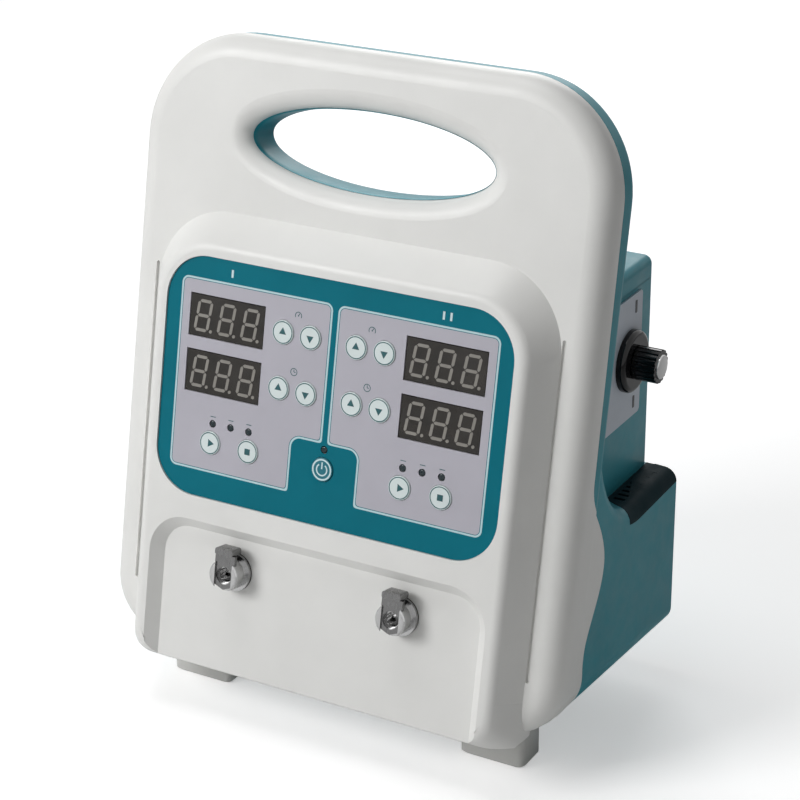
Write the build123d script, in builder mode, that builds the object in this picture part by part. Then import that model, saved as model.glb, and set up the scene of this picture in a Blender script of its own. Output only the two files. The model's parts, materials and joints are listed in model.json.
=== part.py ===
from build123d import *
import os
from math import cos, radians, sin

os.makedirs("parts", exist_ok=True)

# All sizes are millimetres. X runs to the viewer's right, Y to the back and Z up.
# The origin is on the table, under the middle of the object.

# The leaning face: u runs right, v up the face, and a height is counted out of the face
lean = 11.7
face_y = -39.0
face_z = 190.6
lean_sin = sin(radians(lean))
lean_cos = cos(radians(lean))
face = Plane(origin=(0, face_y, face_z), x_dir=(1, 0, 0), z_dir=(0, -lean_cos, lean_sin))
face_out = Axis((0, face_y, face_z), (0, -lean_cos, lean_sin))

# Housing
wall = 3.0
seam_gap = 0.25
underside_z = 24.0
rear_y = 71.2
slab_half_width = 113.0
slab_front = -13.5
slab_rear = -37.5
slab_top = 111.0
slab_bottom = -165.0
slab_top_corner = 48.0
slab_bottom_corner = 27.0
slab_front_round = 10.0
slab_rear_round = 5.5
box_root = -27.0

# Raised console on the slab
console_half_width = 89.0
console_top = 22.0
console_bottom = -164.5
console_corner = 26.0
console_foot_corner = 14.0
console_flare = 9.0
console_top_flare = 13.0
console_bottom_flare = 7.5
console_round = 5.0
groove_width = 1.8
groove_depth = 1.3
groove_top = 8.0
groove_bottom = -138.0

# Handle opening through the slab
handle_v = 69.0
handle_half_width = 58.0
handle_half_height = 17.0
handle_front_round = 8.5
handle_rear_round = 4.0

# Recess round the couplings
recess_half_width = 84.0
recess_top = -100.0
recess_depth = 5.0
recess_slope = 5.0
recess_corner = 18.0
recess_end = -190.0

# Low shoulder box behind the slab
box_front_y = -58.0
shoulder_half_front = 113.0
shoulder_half_rear = 110.5
shoulder_z = 102.0
shoulder_round = 6.0
shoulder_corner_rear = 8.0
fairing_y = 29.2
fairing_reach = 42.0
fairing_rise = 58.0

# Middle box behind the slab
middle_half_width = 95.5
middle_top_z = 200.0
middle_base_z = 60.0
middle_round = 8.0

# Where the white and the teal shell meet, seen from the side: distance up the face and out of it
seam_top = (125.0, -24.0)
seam_bend = (-52.0, -27.5)
seam_wave = [(-70.0, -38.0), (-91.0, -50.0), (-110.0, -45.3), (-128.0, -38.4)]
seam_foot = (-150.0, -41.0)
seam_end = (-190.0, -43.0)

# Keypad overlay
overlay_half_width = 84.0
overlay_top = 16.8
overlay_bottom = -89.0
overlay_corner = 20.0
overlay_thickness = 0.6
overlay_pocket = 1.4
overlay_gap = 0.2

# Layout on the face
channel_u = 47.2
display_u = 53.25
display_width = 37.7
display_height = 18.5
display_rows = {"pressure": -9.25, "time": -33.75}
display_depth = 8.0
display_sink = 0.3
display_gap = 0.2
step_u = 17.9
step_pitch = 13.5
step_rows = {"pressure": -9.2, "time": -33.5}
control_v = -64.2
control_pitch = 19.4
lamp_v = -55.6
lamp_pitch = 9.2
lamp_radius = 1.5
lamp_gap = 0.2
power_v = -64.2

# Keys
key_radius = 5.2
key_gap = 0.2
key_proud = 0.6
key_flange_radius = 6.2
key_flange = 1.0
key_rest_gap = 0.1
key_travel = 0.5
key_stem_radius = 1.8
switch_clear = 0.12
switch_size = 6.0
switch_body = 3.0

# Display board
board_thickness = 1.6
board_half_width = 81.0
board_top = 12.5
board_bottom = -81.0
board_boss_radius = 3.6
board_screw_radius = 1.25
board_screw_head = 2.4
board_screw_length = 6.0
screw_gap = 0.05
board_screw_places = [(-76.5, 8), (76.5, 8), (0, 8), (-76.5, -76), (76.5, -76), (0, -40)]

# Hose couplings
coupling_u = 41.7
coupling_v = -120.0
coupling_radius = 7.2
coupling_proud = 10.0
coupling_flange_radius = 8.6
coupling_flange = 1.2
seal_thickness = 0.8
tail_radius = 5.5
tail_gap = 0.15
tail_length = 11.0
port_radius = 3.2
port_length = 10.0
flow_radius = 1.3
barb_radius = 2.0
barb_length = 9.0
nut_across = 15.0
nut_thickness = 4.0
lip_thickness = 0.8
lip_half_width = 4.3
latch_half_width = 5.0
latch_thickness = 1.8
latch_gap = 0.1
latch_low = 4.4
latch_point = 2.0
latch_travel = 1.6
latch_hole_radius = 3.9
latch_pad_width = 9.0
latch_pad_height = 3.0
latch_pad_depth = 7.0
latch_pad_front = 0.6
spring_radius = 1.2
spring_wire = 0.2
spring_turns = 4
spring_seat = 3.0
spring_gap = 0.3

# Housing screws through the rim of the slab
rim_screw_places = [(-104, 40), (104, 40), (-104, -20), (104, -20), (-84, 88), (84, 88)]
rim_boss_radius = 4.2
rim_screw_radius = 1.5
rim_screw_length = 14.0
rim_head_radius = 3.0
rim_head_height = 2.2
rim_head_sink = 4.0
rim_head_gap = 0.3

# Feet
foot_width = 28.0
foot_depth = 15.0
foot_u = 74.0
foot_front_y = -37.3
rear_foot_u = 56.0
rear_foot_y = 44.2
foot_round = 3.0
foot_screw_radius = 1.5
foot_head_radius = 3.1
foot_head_height = 2.2
foot_head_sink = 12.0
foot_screw_length = 19.0
foot_boss_radius = 3.2
foot_boss_height = 6.5
foot_screw_back = 10.5

# Chassis inside
chassis_half_width = 98.0
chassis_front_y = -9.0
chassis_rear_y = 66.0
chassis_thickness = 2.0
chassis_rise = 6.0
chassis_screw_x = 91.0
chassis_screw_ys = (-1.0, 59.0)
chassis_screw_radius = 1.5
chassis_boss_radius = 3.6
chassis_head_radius = 2.8
chassis_head_height = 2.0
chassis_screw_length = 6.5

# Air side
manifold_half_width = 24.0
manifold_front_y = 11.0
manifold_rear_y = 31.0
manifold_height = 27.0
manifold_port_x = 14.0
pump_head = 27.0
pump_head_length = 24.0
pump_motor_radius = 12.0
pump_motor_length = 30.0
pump_nozzle_radius = 2.5
pump_nozzle_length = 4.0
pump_gap = 0.3
cradle_length = 20.0
cradle_half_width = 13.0
cradle_height = 8.0
valve_size = 17.0
valve_height = 26.0
valve_x = 14.5
hose_radius = 2.5
hose_bore = 2.05
inner_barb_length = 8.0
fit_gap = 0.05

# Electric side
supply_x = (34.0, 84.0)
supply_y = (37.0, 65.5)
supply_height = 40.0
battery_x = (-28.0, 32.0)
battery_y = (35.0, 65.0)
battery_height = 50.0
control_x = (-70.0, 38.0)
control_z = (112.0, 188.0)
control_standoff = 8.0
control_screw_inset = 6.0
control_boss_radius = 3.4
sensor_size = 10.0
sensor_height = 6.0
sensor_x = 20.0
sensor_z = 132.0
sensor_pitch = 16.0
buzzer_radius = 6.0
buzzer_height = 7.0
buzzer_x = -52.0
buzzer_z = 174.0

# Side plate and release valve on the right wall of the middle box
plate_y = (21.0, 58.5)
plate_z = (133.0, 190.0)
plate_thickness = 1.0
release_y = 46.0
release_z = 161.0
release_flange_radius = 14.0
release_flange = 4.0
release_body_radius = 6.0
release_body_length = 22.0
release_nut_across = 17.0
release_nut_thickness = 4.0
release_knob_radius = 7.5
release_knob_length = 10.5
release_knob_gap = 0.4
release_shaft_radius = 2.0
release_shaft_length = 12.0
release_barb_length = 8.0
knob_flutes = 18
flute_radius = 0.7

# Shoulder vents
vent_x = 100.6
vent_width = 8.0
vent_front_y = 29.0
vent_rear_y = 63.0
vent_depth = 2.0
vent_gap = 0.15
vent_slots = 8
vent_slot_width = 1.8
vent_slot_length = 5.4

# Mains inlet on the rear wall
inlet_x = -60.0
inlet_z = 76.0
inlet_width = 32.0
inlet_height = 64.0
inlet_flange = 3.0
inlet_body_width = 27.0
inlet_body_height = 58.0
inlet_body_depth = 21.0
inlet_gap = 0.2
inlet_corner = 2.5
socket_width = 24.0
socket_height = 16.5
socket_depth = 16.0
socket_v = -17.0
socket_chamfer = 4.0
pin_width = 2.0
pin_height = 4.0
pin_length = 10.5
drawer_width = 22.0
drawer_height = 7.0
drawer_depth = 17.0
drawer_v = -1.0
drawer_gap = 0.15
rocker_width = 19.0
rocker_height = 13.0
rocker_v = 18.0
rocker_depth = 8.0
rocker_gap = 0.4
rocker_tilt = 9.0
rocker_axle_radius = 1.2

# Rear wall vents
slot_count = 7
slot_pitch = 6.0
slot_length = 46.0
slot_width = 2.4
slot_z = 150.0


def face_spot(v, out, u=0.0):
    """A point of the model, given by its place on the leaning face."""
    y = face_y + v * lean_sin - out * lean_cos
    z = face_z + v * lean_cos + out * lean_sin
    return Vector(u, y, z)


def side_spot(v, out):
    """The same point seen from the side, as a Y and a Z."""
    spot = face_spot(v, out)
    return (spot.Y, spot.Z)


def face_v_at(z, out):
    """How far up the face a height above the table lies."""
    return (z - face_z - out * lean_sin) / lean_cos


def outline(half_width, bottom, top, bottom_corner, top_corner):
    """A rounded rectangle that may have wider corners at the top."""
    corners = [(half_width, bottom), (half_width, top), (-half_width, top), (-half_width, bottom)]
    radii = [bottom_corner, top_corner, top_corner, bottom_corner]
    with BuildSketch() as profile:
        with BuildLine():
            FilletPolyline(*corners, radius=radii, close=True)
        make_face()
    return profile.sketch


def slab_form(inset):
    """The leaning slab with its handle opening. An inset gives the space inside the walls."""
    with BuildPart() as form:
        with BuildSketch(face.offset(slab_front - inset)):
            add(
                outline(
                    slab_half_width - inset,
                    slab_bottom + inset,
                    slab_top - inset,
                    slab_bottom_corner - inset,
                    slab_top_corner - inset,
                )
            )
        extrude(amount=slab_rear - slab_front + 2 * inset)
        fillet(form.faces().sort_by(face_out)[-1].edges(), slab_front_round - inset)
        fillet(form.faces().sort_by(face_out)[0].edges(), slab_rear_round - inset)
        with BuildSketch(face.offset(slab_front - inset)):
            with Locations((0, handle_v)):
                Ellipse(handle_half_width + inset, handle_half_height + inset)
        extrude(amount=slab_rear - slab_front + 2 * inset, mode=Mode.SUBTRACT)
        rims = form.edges().filter_by(GeomType.ELLIPSE).sort_by(face_out)
        fillet(rims[-1], handle_front_round - inset)
        rims = form.edges().filter_by(GeomType.ELLIPSE).sort_by(face_out)
        fillet(rims[0], max(handle_rear_round - inset, 1.0))
    return form.part


def console_form(inset):
    """The raised console, wider at its foot than at its face."""
    with BuildPart() as form:
        with BuildSketch(face.offset(slab_front - inset)):
            add(
                outline(
                    console_half_width + console_flare - inset,
                    console_bottom - console_bottom_flare + inset,
                    console_top + console_top_flare - inset,
                    console_foot_corner + console_flare - inset,
                    console_corner + console_flare - inset,
                )
            )
        with BuildSketch(face.offset(-inset)):
            add(
                outline(
                    console_half_width - inset,
                    console_bottom + inset,
                    console_top - inset,
                    console_foot_corner - inset,
                    console_corner - inset,
                )
            )
        loft(ruled=True)
        fillet(form.faces().sort_by(face_out)[-1].edges(), console_round - inset)
    return form.part


def recess_form(grow):
    """The sloped recess round the couplings, open at the bottom."""
    with BuildPart() as form:
        with BuildSketch(face.offset(-recess_depth - grow)):
            add(
                outline(
                    recess_half_width - recess_slope + grow,
                    recess_end,
                    recess_top - recess_slope + grow,
                    1.0,
                    recess_corner - recess_slope,
                )
            )
        with BuildSketch(face):
            add(outline(recess_half_width + grow, recess_end, recess_top + grow, 1.0, recess_corner))
        loft(ruled=True)
    return form.part


def shoulder_form(inset):
    """The low wide box, drawn in to the back, under a ledge that sweeps up to the slab."""
    low = underside_z + inset
    with BuildPart() as form:
        with BuildSketch(Plane.XZ.offset(-box_front_y)):
            corner = slab_bottom_corner - inset
            add(outline(shoulder_half_front - inset, low, face_z, corner, 1.0))
        with BuildSketch(Plane.XZ.offset(-(rear_y - inset))):
            corner = shoulder_corner_rear - inset
            add(outline(shoulder_half_rear - inset, low, face_z, corner, 1.0))
        loft(ruled=True)
        with BuildSketch(Plane.YZ.offset(-2 * slab_half_width)):
            with BuildLine():
                fairing = EllipticalCenterArc(
                    (fairing_y, shoulder_z + fairing_rise),
                    fairing_reach + inset,
                    fairing_rise + inset,
                    start_angle=180,
                    arc_size=90,
                )
                top = side_spot(face_v_at(shoulder_z + fairing_rise, box_root), box_root)
                bottom = side_spot(face_v_at(low, box_root), box_root)
                Polyline(
                    fairing @ 0,
                    top,
                    bottom,
                    (rear_y - inset, low),
                    (rear_y - inset, shoulder_z - inset),
                    fairing @ 1,
                )
            make_face()
        extrude(amount=4 * slab_half_width, mode=Mode.INTERSECT)
        if not inset:
            # the ledge is rounded outside only, its inside corner stays square
            ledge = form.edges().filter_by_position(Axis.Z, shoulder_z - 0.01, shoulder_z + 0.01)
            sides = ledge.filter_by(lambda e: abs(e.center().X) > shoulder_half_rear - 8)
            fillet(sides, shoulder_round)
    return form.part


def middle_form(inset):
    """The taller, narrower box on top of the shoulder box."""
    with BuildPart() as form:
        with BuildSketch(Plane.YZ.offset(-(middle_half_width - inset))):
            with BuildLine():
                top_z = middle_top_z - inset
                Polyline(
                    side_spot(face_v_at(middle_base_z, box_root), box_root),
                    side_spot(face_v_at(top_z, box_root), box_root),
                    (rear_y - inset, top_z),
                    (rear_y - inset, middle_base_z),
                    close=True,
                )
            make_face()
        extrude(amount=2 * (middle_half_width - inset))
        top = form.faces().filter_by(Axis.Z).sort_by(Axis.Z)[-1]
        rims = top.edges().filter_by(lambda e: e.center().Y > face_y + wall)
        rims += form.edges().filter_by(Axis.Z).group_by(Axis.Y)[-1]
        fillet(rims, middle_round - inset)
    return form.part


def body_form(inset):
    """The whole outer body, or the space inside its walls when it is given an inset."""
    with BuildPart() as form:
        add(slab_form(inset))
        add(console_form(inset))
        add(shoulder_form(inset))
        add(middle_form(inset))
        add(recess_form(inset), mode=Mode.SUBTRACT)
        if not inset:
            # a shadow groove runs down beside the foot of the console
            groove_u = console_half_width + console_flare + groove_width / 2
            groove_v = (groove_top + groove_bottom) / 2
            with BuildSketch(face.offset(slab_front)):
                with Locations((-groove_u, groove_v), (groove_u, groove_v)):
                    SlotOverall(groove_top - groove_bottom, groove_width, rotation=90)
            extrude(amount=-groove_depth, mode=Mode.SUBTRACT)
        split(bisect_by=Plane.XY.offset(underside_z + inset), keep=Keep.TOP)
    return form.part


def front_side(shift):
    """Everything in front of the line where the two shells meet."""
    wave = [side_spot(v, out - shift) for v, out in seam_wave]
    top = side_spot(seam_top[0], seam_top[1] - shift)
    bend = side_spot(seam_bend[0], seam_bend[1] - shift)
    foot = side_spot(seam_foot[0], seam_foot[1] - shift)
    end = side_spot(seam_end[0], seam_end[1] - shift)
    with BuildPart() as form:
        with BuildSketch(Plane.YZ.offset(-2 * slab_half_width)):
            with BuildLine():
                straight = Line(top, bend)
                last = Line(foot, end)
                Spline(bend, *wave, foot, tangents=[straight % 1, last % 0])
                Polyline(end, side_spot(seam_end[0], wall), side_spot(seam_top[0], wall), top)
            make_face()
        extrude(amount=4 * slab_half_width)
    return form.part


def column(spot, direction, radius, length):
    """A round post that starts at a spot and runs along a direction."""
    with BuildPart() as form:
        with BuildSketch(Plane(origin=spot, z_dir=direction)):
            Circle(radius)
        extrude(amount=length)
    return form.part


def block(x, y, z):
    """A plain block between two places on each axis."""
    with BuildPart() as form:
        with BuildSketch(Plane.XY.offset(z[0])):
            with Locations(((x[0] + x[1]) / 2, (y[0] + y[1]) / 2)):
                Rectangle(x[1] - x[0], y[1] - y[0])
        extrude(amount=z[1] - z[0])
    return form.part


def pan_screw(spot, direction, radius, length, head_radius, head_height):
    """A screw whose head is seated at a spot and whose shank runs along a direction."""
    with BuildPart() as form:
        with BuildSketch(Plane(origin=spot, z_dir=direction)):
            Circle(radius)
        extrude(amount=length)
        with BuildSketch(Plane(origin=spot, z_dir=direction)):
            Circle(head_radius)
        extrude(amount=-head_height)
        crown = form.faces().sort_by(Axis(spot, direction))[0]
        chamfer(crown.edges(), head_height * 0.3)
        with BuildSketch(Plane(origin=spot, z_dir=direction).offset(-head_height)):
            Rectangle(head_radius * 1.2, head_radius * 0.3)
            Rectangle(head_radius * 0.3, head_radius * 1.2)
        extrude(amount=head_height * 0.5, mode=Mode.SUBTRACT)
    return form.part


# Places that follow from the sizes above
inward = Vector(0, lean_cos, -lean_sin)
outward = Vector(0, -lean_cos, lean_sin)
upward = Vector(0, lean_sin, lean_cos)
overlay_face = overlay_thickness - overlay_pocket
board_front = overlay_face - display_sink - display_depth
board_back = board_front - board_thickness
switch_top = -wall - key_rest_gap - key_flange - key_travel - switch_clear
chassis_z = underside_z + wall + chassis_rise
deck_z = chassis_z + chassis_thickness
air_z = deck_z + pump_head / 2
floor_out = -recess_depth
rear_inside = rear_y - wall
channels = {"a": -1, "b": 1}
key_spots = {"power": (0, power_v)}
for channel, side in channels.items():
    for row, v in step_rows.items():
        key_spots[f"{channel}_{row}_up"] = (side * step_u - step_pitch / 2, v)
        key_spots[f"{channel}_{row}_down"] = (side * step_u + step_pitch / 2, v)
    key_spots[f"{channel}_start"] = (side * channel_u - control_pitch / 2, control_v)
    key_spots[f"{channel}_stop"] = (side * channel_u + control_pitch / 2, control_v)
lamp_spots = [(0, lamp_v)]
for side in channels.values():
    lamp_spots += [(side * channel_u + step * lamp_pitch, lamp_v) for step in (-1, 0, 1)]
display_spots = {}
for channel, side in channels.items():
    for row, v in display_rows.items():
        display_spots[f"{channel}_{row}"] = (side * display_u, v)
coupling_spots = {name: (side * coupling_u, coupling_v) for name, side in channels.items()}
front_foot_spots = [(side * foot_u, foot_front_y + foot_depth / 2) for side in (-1, 1)]
rear_foot_spots = [(side * rear_foot_u, rear_foot_y) for side in (-1, 1)]
front_screw_spots = [(side * foot_u, foot_front_y + foot_screw_back) for side in (-1, 1)]
foot_screw_spots = front_screw_spots + rear_foot_spots
chassis_screw_spots = [(side * chassis_screw_x, y) for side in (-1, 1) for y in chassis_screw_ys]
control_board_y = rear_inside - control_standoff
control_screw_spots = [
    (x, z)
    for x in (control_x[0] + control_screw_inset, control_x[1] - control_screw_inset)
    for z in (control_z[0] + control_screw_inset, control_z[1] - control_screw_inset)
]
rear_face = Plane(origin=(inlet_x, rear_y, inlet_z), x_dir=(-1, 0, 0), z_dir=(0, 1, 0))
release_wall = Plane(origin=(middle_half_width, release_y, release_z), x_dir=(0, 1, 0), z_dir=(1, 0, 0))

# Both shells come from one hollow body with the screw posts in it
outer_body = body_form(0)
inner_space = body_form(wall)
with BuildPart() as shells:
    add(outer_body)
    add(inner_space, mode=Mode.SUBTRACT)
    for u, v in rim_screw_places:
        start = face_spot(v, slab_front - wall / 2, u)
        add(column(start, inward, rim_boss_radius, slab_front - slab_rear - wall))
    for u, v in rim_screw_places:
        seat = face_spot(v, slab_rear + rim_head_sink, u)
        hole = column(seat, outward, rim_screw_radius + screw_gap, rim_screw_length + screw_gap)
        add(hole, mode=Mode.SUBTRACT)
        sink = column(seat, inward, rim_head_radius + rim_head_gap, rim_head_sink + wall)
        add(sink, mode=Mode.SUBTRACT)

# White front shell
with BuildPart() as front_housing:
    add(shells.part)
    add(front_side(0), mode=Mode.INTERSECT)
    for u, v in board_screw_places:
        post = column(face_spot(v, board_front, u), outward, board_boss_radius, -board_front - wall / 2)
        add(post)
    with BuildSketch(face):
        add(
            outline(
                overlay_half_width + overlay_gap,
                overlay_bottom - overlay_gap,
                overlay_top + overlay_gap,
                overlay_corner + overlay_gap,
                overlay_corner + overlay_gap,
            )
        )
    extrude(amount=-overlay_pocket, mode=Mode.SUBTRACT)
    with BuildSketch(face):
        with Locations(*display_spots.values()):
            Rectangle(display_width + 2 * display_gap, display_height + 2 * display_gap)
        with Locations(*key_spots.values()):
            Circle(key_radius + key_gap)
        with Locations(*lamp_spots):
            Circle(lamp_radius + lamp_gap)
    extrude(amount=-2 * wall, mode=Mode.SUBTRACT)
    with BuildSketch(face):
        with Locations(*coupling_spots.values()):
            Circle(tail_radius + tail_gap)
    extrude(amount=-(recess_depth + 2 * wall), mode=Mode.SUBTRACT)
    for u, v in board_screw_places:
        depth = board_screw_length - board_thickness + screw_gap
        hole = column(face_spot(v, board_front, u), outward, board_screw_radius + screw_gap, depth)
        add(hole, mode=Mode.SUBTRACT)
front_housing.part.label = "front_housing"
export_step(front_housing.part, "parts/front_housing.step")

# Teal rear shell
with BuildPart() as rear_housing:
    add(shells.part)
    for x, y in foot_screw_spots:
        add(column((x, y, underside_z + wall / 2), (0, 0, 1), foot_boss_radius, foot_boss_height))
    add(front_side(seam_gap), mode=Mode.SUBTRACT)
    for x, y in foot_screw_spots:
        depth = foot_screw_length - underside_z + foot_head_sink + screw_gap
        hole = column((x, y, underside_z), (0, 0, 1), foot_screw_radius + screw_gap, depth)
        add(hole, mode=Mode.SUBTRACT)
    for x, y in chassis_screw_spots:
        start = (x, y, underside_z + wall / 2)
        add(column(start, (0, 0, 1), chassis_boss_radius, chassis_rise + wall / 2))
    for x, y in chassis_screw_spots:
        depth = chassis_screw_length - chassis_thickness + screw_gap
        hole = column((x, y, chassis_z), (0, 0, -1), chassis_screw_radius + screw_gap, depth)
        add(hole, mode=Mode.SUBTRACT)
    for x, z in control_screw_spots:
        start = (x, rear_inside + wall / 2, z)
        add(column(start, (0, -1, 0), control_boss_radius, control_standoff + wall / 2))
    for x, z in control_screw_spots:
        depth = board_screw_length - board_thickness + screw_gap
        hole = column((x, control_board_y, z), (0, 1, 0), board_screw_radius + screw_gap, depth)
        add(hole, mode=Mode.SUBTRACT)
    with BuildSketch(rear_face.offset(-wall)):
        Rectangle(inlet_width + 2 * wall, inlet_height + 2 * wall)
    extrude(amount=-inlet_flange)
    with BuildSketch(rear_face):
        RectangleRounded(inlet_width + 2 * inlet_gap, inlet_height + 2 * inlet_gap, inlet_corner)
    extrude(amount=-inlet_flange, mode=Mode.SUBTRACT)
    with BuildSketch(rear_face):
        Rectangle(inlet_body_width + 2 * inlet_gap, inlet_body_height + 2 * inlet_gap)
    extrude(amount=-(wall + inlet_flange), mode=Mode.SUBTRACT)
    with BuildSketch(Plane(origin=(0, rear_y, slot_z), x_dir=(-1, 0, 0), z_dir=(0, 1, 0))):
        with GridLocations(slot_length, slot_pitch, 1, slot_count):
            SlotOverall(slot_length, slot_width)
    extrude(amount=-wall, mode=Mode.SUBTRACT)
    with BuildSketch(release_wall):
        Circle(release_body_radius + tail_gap)
    extrude(amount=-wall, mode=Mode.SUBTRACT)
    vent_middle = (vent_front_y + vent_rear_y) / 2
    vent_length = vent_rear_y - vent_front_y
    with BuildSketch(Plane.XY.offset(shoulder_z)):
        with Locations((-vent_x, vent_middle), (vent_x, vent_middle)):
            Rectangle(vent_width + 2 * vent_gap, vent_length + 2 * vent_gap)
    extrude(amount=-vent_depth, mode=Mode.SUBTRACT)
    with BuildSketch(Plane.XY.offset(shoulder_z)):
        with Locations((-vent_x, vent_middle), (vent_x, vent_middle)):
            with GridLocations(0, vent_length / vent_slots, 1, vent_slots):
                Rectangle(vent_slot_length, vent_slot_width)
    extrude(amount=-wall, mode=Mode.SUBTRACT)
rear_housing.part.label = "rear_housing"
export_step(rear_housing.part, "parts/rear_housing.step")

# Housing screws, in from the back
with BuildPart() as housing_screws:
    for u, v in rim_screw_places:
        seat = face_spot(v, slab_rear + rim_head_sink, u)
        add(pan_screw(seat, outward, rim_screw_radius, rim_screw_length, rim_head_radius, rim_head_height))
housing_screws.part.label = "housing_screws"
export_step(housing_screws.part, "parts/housing_screws.step")

# Membrane with its windows
with BuildPart() as keypad_overlay:
    with BuildSketch(face.offset(-overlay_pocket)):
        add(outline(overlay_half_width, overlay_bottom, overlay_top, overlay_corner, overlay_corner))
        with Locations(*display_spots.values()):
            Rectangle(
                display_width + 2 * display_gap, display_height + 2 * display_gap, mode=Mode.SUBTRACT
            )
        with Locations(*key_spots.values()):
            Circle(key_radius + key_gap, mode=Mode.SUBTRACT)
        with Locations(*lamp_spots):
            Circle(lamp_radius + lamp_gap, mode=Mode.SUBTRACT)
    extrude(amount=overlay_thickness)
keypad_overlay.part.label = "keypad_overlay"
export_step(keypad_overlay.part, "parts/keypad_overlay.step")

# Display modules
for name, spot in display_spots.items():
    with BuildPart() as display:
        with BuildSketch(face.offset(board_front)):
            with Locations(spot):
                Rectangle(display_width, display_height)
        extrude(amount=display_depth)
        chamfer(display.faces().sort_by(face_out)[-1].edges(), display_sink)
    display.part.label = f"display_{name}"
    export_step(display.part, f"parts/display_{name}.step")

# Keys: a cap through the membrane and the shell, a flange behind the shell, and a stem
for name, spot in key_spots.items():
    with BuildPart() as key:
        cap_low = -wall - key_rest_gap
        with BuildSketch(face.offset(cap_low)):
            with Locations(spot):
                Circle(key_radius)
        extrude(amount=overlay_face + key_proud - cap_low)
        fillet(key.faces().sort_by(face_out)[-1].edges(), key_proud * 0.6)
        with BuildSketch(face.offset(cap_low)):
            with Locations(spot):
                Circle(key_flange_radius)
        extrude(amount=-key_flange)
    key.part.label = f"key_{name}"
    export_step(key.part, f"parts/key_{name}.step")

# Lamps stand on the display board
with BuildPart() as indicator_leds:
    with BuildSketch(face.offset(board_front)):
        with Locations(*lamp_spots):
            Circle(lamp_radius)
    extrude(amount=overlay_face - board_front)
    tops = indicator_leds.faces().group_by(face_out)[-1]
    fillet(tops.edges(), lamp_radius * 0.4)
indicator_leds.part.label = "indicator_leds"
export_step(indicator_leds.part, "parts/indicator_leds.step")

# Tact switches under the keys
with BuildPart() as key_switches:
    with BuildSketch(face.offset(board_front)):
        with Locations(*key_spots.values()):
            Rectangle(switch_size, switch_size)
    extrude(amount=switch_body)
    with BuildSketch(face.offset(board_front + switch_body)):
        with Locations(*key_spots.values()):
            Circle(key_stem_radius)
    extrude(amount=switch_top - board_front - switch_body)
key_switches.part.label = "key_switches"
export_step(key_switches.part, "parts/key_switches.step")

# Display board on the posts of the front shell
with BuildPart() as display_board:
    with BuildSketch(face.offset(board_back)):
        add(outline(board_half_width, board_bottom, board_top, 3, 3))
        with Locations(*board_screw_places):
            Circle(board_screw_radius + screw_gap, mode=Mode.SUBTRACT)
    extrude(amount=board_thickness)
display_board.part.label = "display_board"
export_step(display_board.part, "parts/display_board.step")

# Screws of the display board and of the control board
with BuildPart() as board_screws:
    seats = [(face_spot(v, board_back, u), outward) for u, v in board_screw_places]
    seats += [(Vector(x, control_board_y - board_thickness, z), (0, 1, 0)) for x, z in control_screw_spots]
    for seat, along in seats:
        head_height = board_screw_head * 0.7
        add(pan_screw(seat, along, board_screw_radius, board_screw_length, board_screw_head, head_height))
board_screws.part.label = "board_screws"
export_step(board_screws.part, "parts/board_screws.step")


def shield(half_width, low, point, high):
    """The pointed plate shape that slides in a coupling."""
    with BuildSketch() as profile:
        with BuildLine():
            Polyline(
                (half_width, high),
                (-half_width, high),
                (-half_width, -low),
                (0, -low - point),
                (half_width, -low),
                close=True,
            )
        make_face()
    return profile.sketch


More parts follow.
